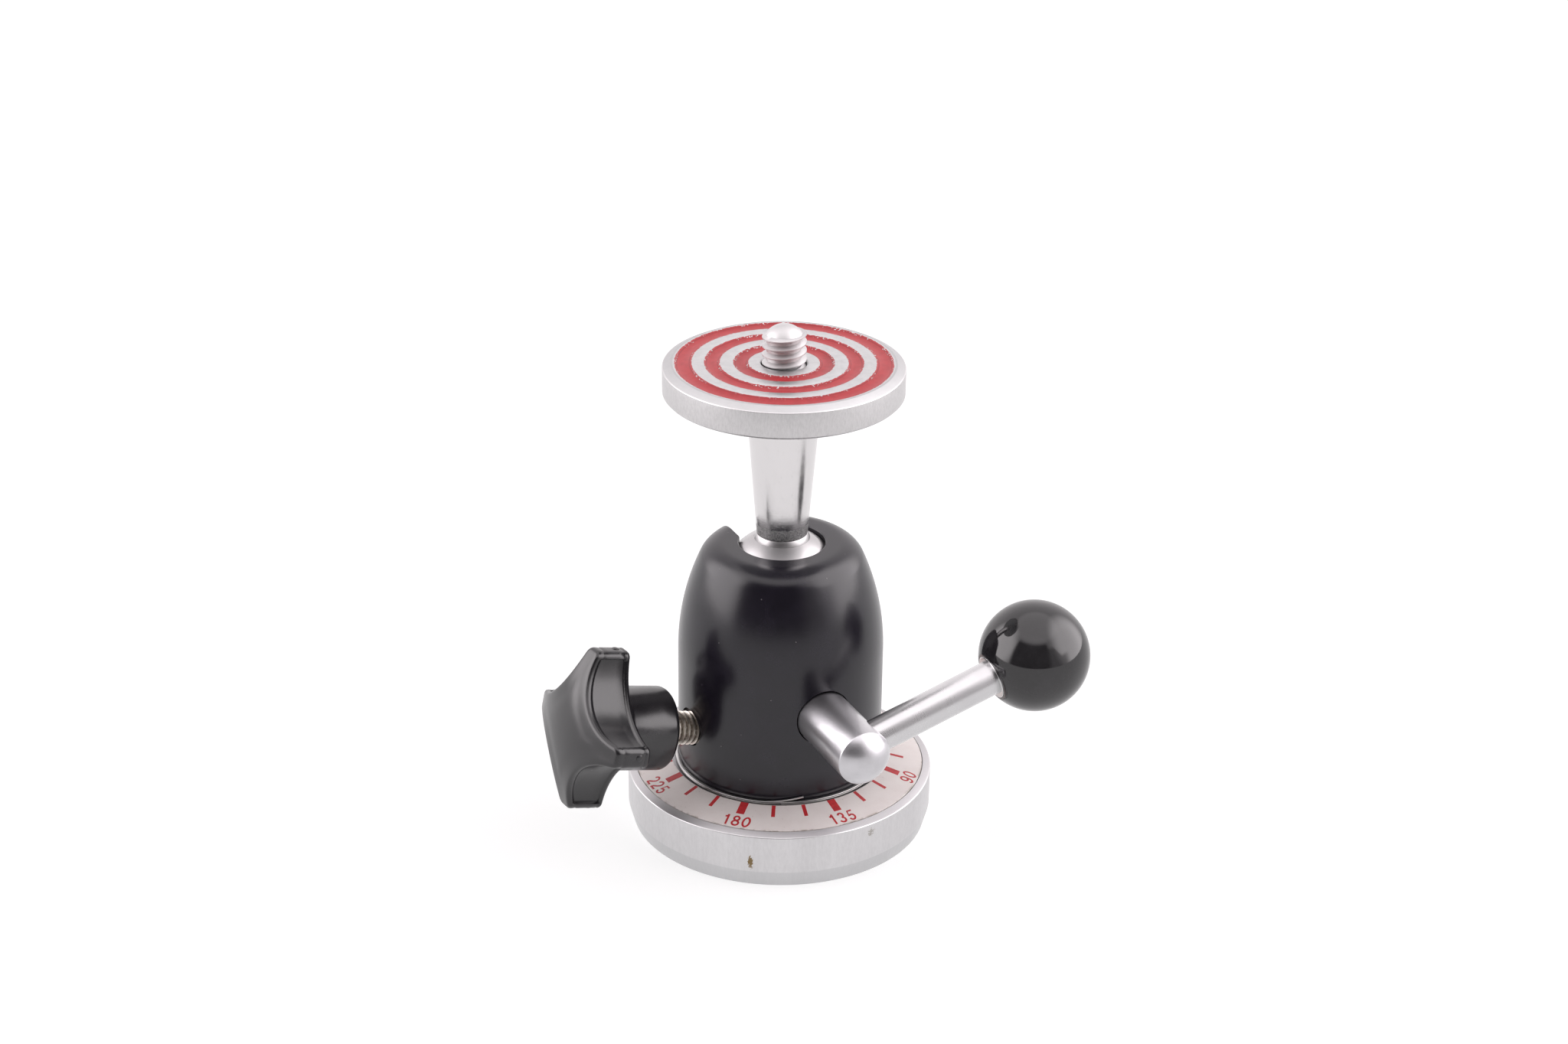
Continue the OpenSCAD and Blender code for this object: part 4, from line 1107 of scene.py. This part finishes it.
def patch(tree, direction, aim, spread, strength):
    """Soft round patch of light on the room's wall, even over the inner part of its spread."""
    even_share = 0.45
    length = math.sqrt(sum(v * v for v in aim))
    aim = tuple(v / length for v in aim)
    towards = node(tree, "VectorMath", {0: direction, 1: aim}, operation="DOT_PRODUCT")
    edge, plateau = math.cos(math.radians(spread)), math.cos(math.radians(spread * even_share))
    return ramp(tree, towards.outputs["Value"], edge, plateau, 0.0, strength)


def sector(tree, turned, opens, full, fades, ends):
    """Mask over a sector of the room, in degrees right of the camera: full between full and fades."""
    return maths(tree, "MULTIPLY", ramp(tree, turned, math.radians(opens), math.radians(full)),
                 ramp(tree, turned, math.radians(fades), math.radians(ends), 1.0, 0.0))


def light_room():
    """A white light tent: bright patches on the side walls, a roof, and two dimmer parts.

    The dark opening is where the camera stands. The skirting is the dim lower wall right of it, whose
    top sinks to the right; it gives rod, shaft and ball knob their grey lower band.
    """
    right_patch, left_patch, patch_light = (0.8355, -0.3645, 0.41), (-0.832, 0.401, 0.351), 3.0
    tent_light, roof_light, opening_loss, skirting_loss, matt_share = 1.2, 0.6, 0.93, 0.58, 0.5
    world = bpy.data.worlds.new("white_tent")
    world.use_nodes = True
    bpy.context.scene.world = world
    tree = world.node_tree
    background = tree.nodes["Background"]
    direction = node(tree, "TexCoord").outputs["Generated"]
    height = node(tree, "SeparateXYZ", {0: direction}).outputs[2]
    ahead = node(tree, "VectorMath", {0: direction, 1: (-0.4305, -0.9026, 0)}, operation="DOT_PRODUCT")
    across = node(tree, "VectorMath", {0: direction, 1: (0.9026, -0.4305, 0)}, operation="DOT_PRODUCT")
    turn_right = maths(tree, "ARCTAN2", across.outputs["Value"], ahead.outputs["Value"])
    opening = sector(tree, turn_right, -60, -50, 24, 36)
    opening = maths(tree, "MULTIPLY", opening, ramp(tree, height, 0.70, 0.80, 1.0, 0.0))
    walls = maths(tree, "ADD", patch(tree, direction, right_patch, 50, patch_light),
                  patch(tree, direction, left_patch, 42, patch_light))
    roof = ramp(tree, height, 0.74, 0.86, 0.0, roof_light)
    level = maths(tree, "ADD", maths(tree, "ADD", walls, roof), tent_light)
    top = ramp(tree, turn_right, math.radians(42), math.radians(58), 0.62, 0.30)
    skirting = sector(tree, turn_right, 24, 30, 62, 78)
    below_top = ramp(tree, maths(tree, "SUBTRACT", height, top), -0.08, 0.06, 1.0, 0.0)
    skirting = maths(tree, "MULTIPLY", skirting, below_top)
    level = maths(tree, "MULTIPLY", level, maths(tree, "MULTIPLY_ADD", skirting, -skirting_loss, 1.0))
    level = maths(tree, "MULTIPLY", level, maths(tree, "MULTIPLY_ADD", opening, -opening_loss, 1.0))
    rays = node(tree, "LightPath")
    mirror = maths(tree, "MAXIMUM", rays.outputs["Is Glossy Ray"], rays.outputs["Is Transmission Ray"])
    on_matt = maths(tree, "MULTIPLY", level, matt_share)
    plain = maths(tree, "MAXIMUM", rays.outputs["Is Camera Ray"], on_matt)
    share = maths(tree, "MULTIPLY", mirror, maths(tree, "SUBTRACT", level, plain))
    tree.links.new(maths(tree, "ADD", plain, share), background.inputs["Strength"])
    tree.links.new(mix(tree, rays.outputs["Is Camera Ray"], (1.0, 0.955, 0.97, 1), (1, 1, 1, 1)),
                   background.inputs["Color"])
    bpy.context.scene.view_settings.view_transform = "Standard"


put_camera()
lay_floor()
light_room()
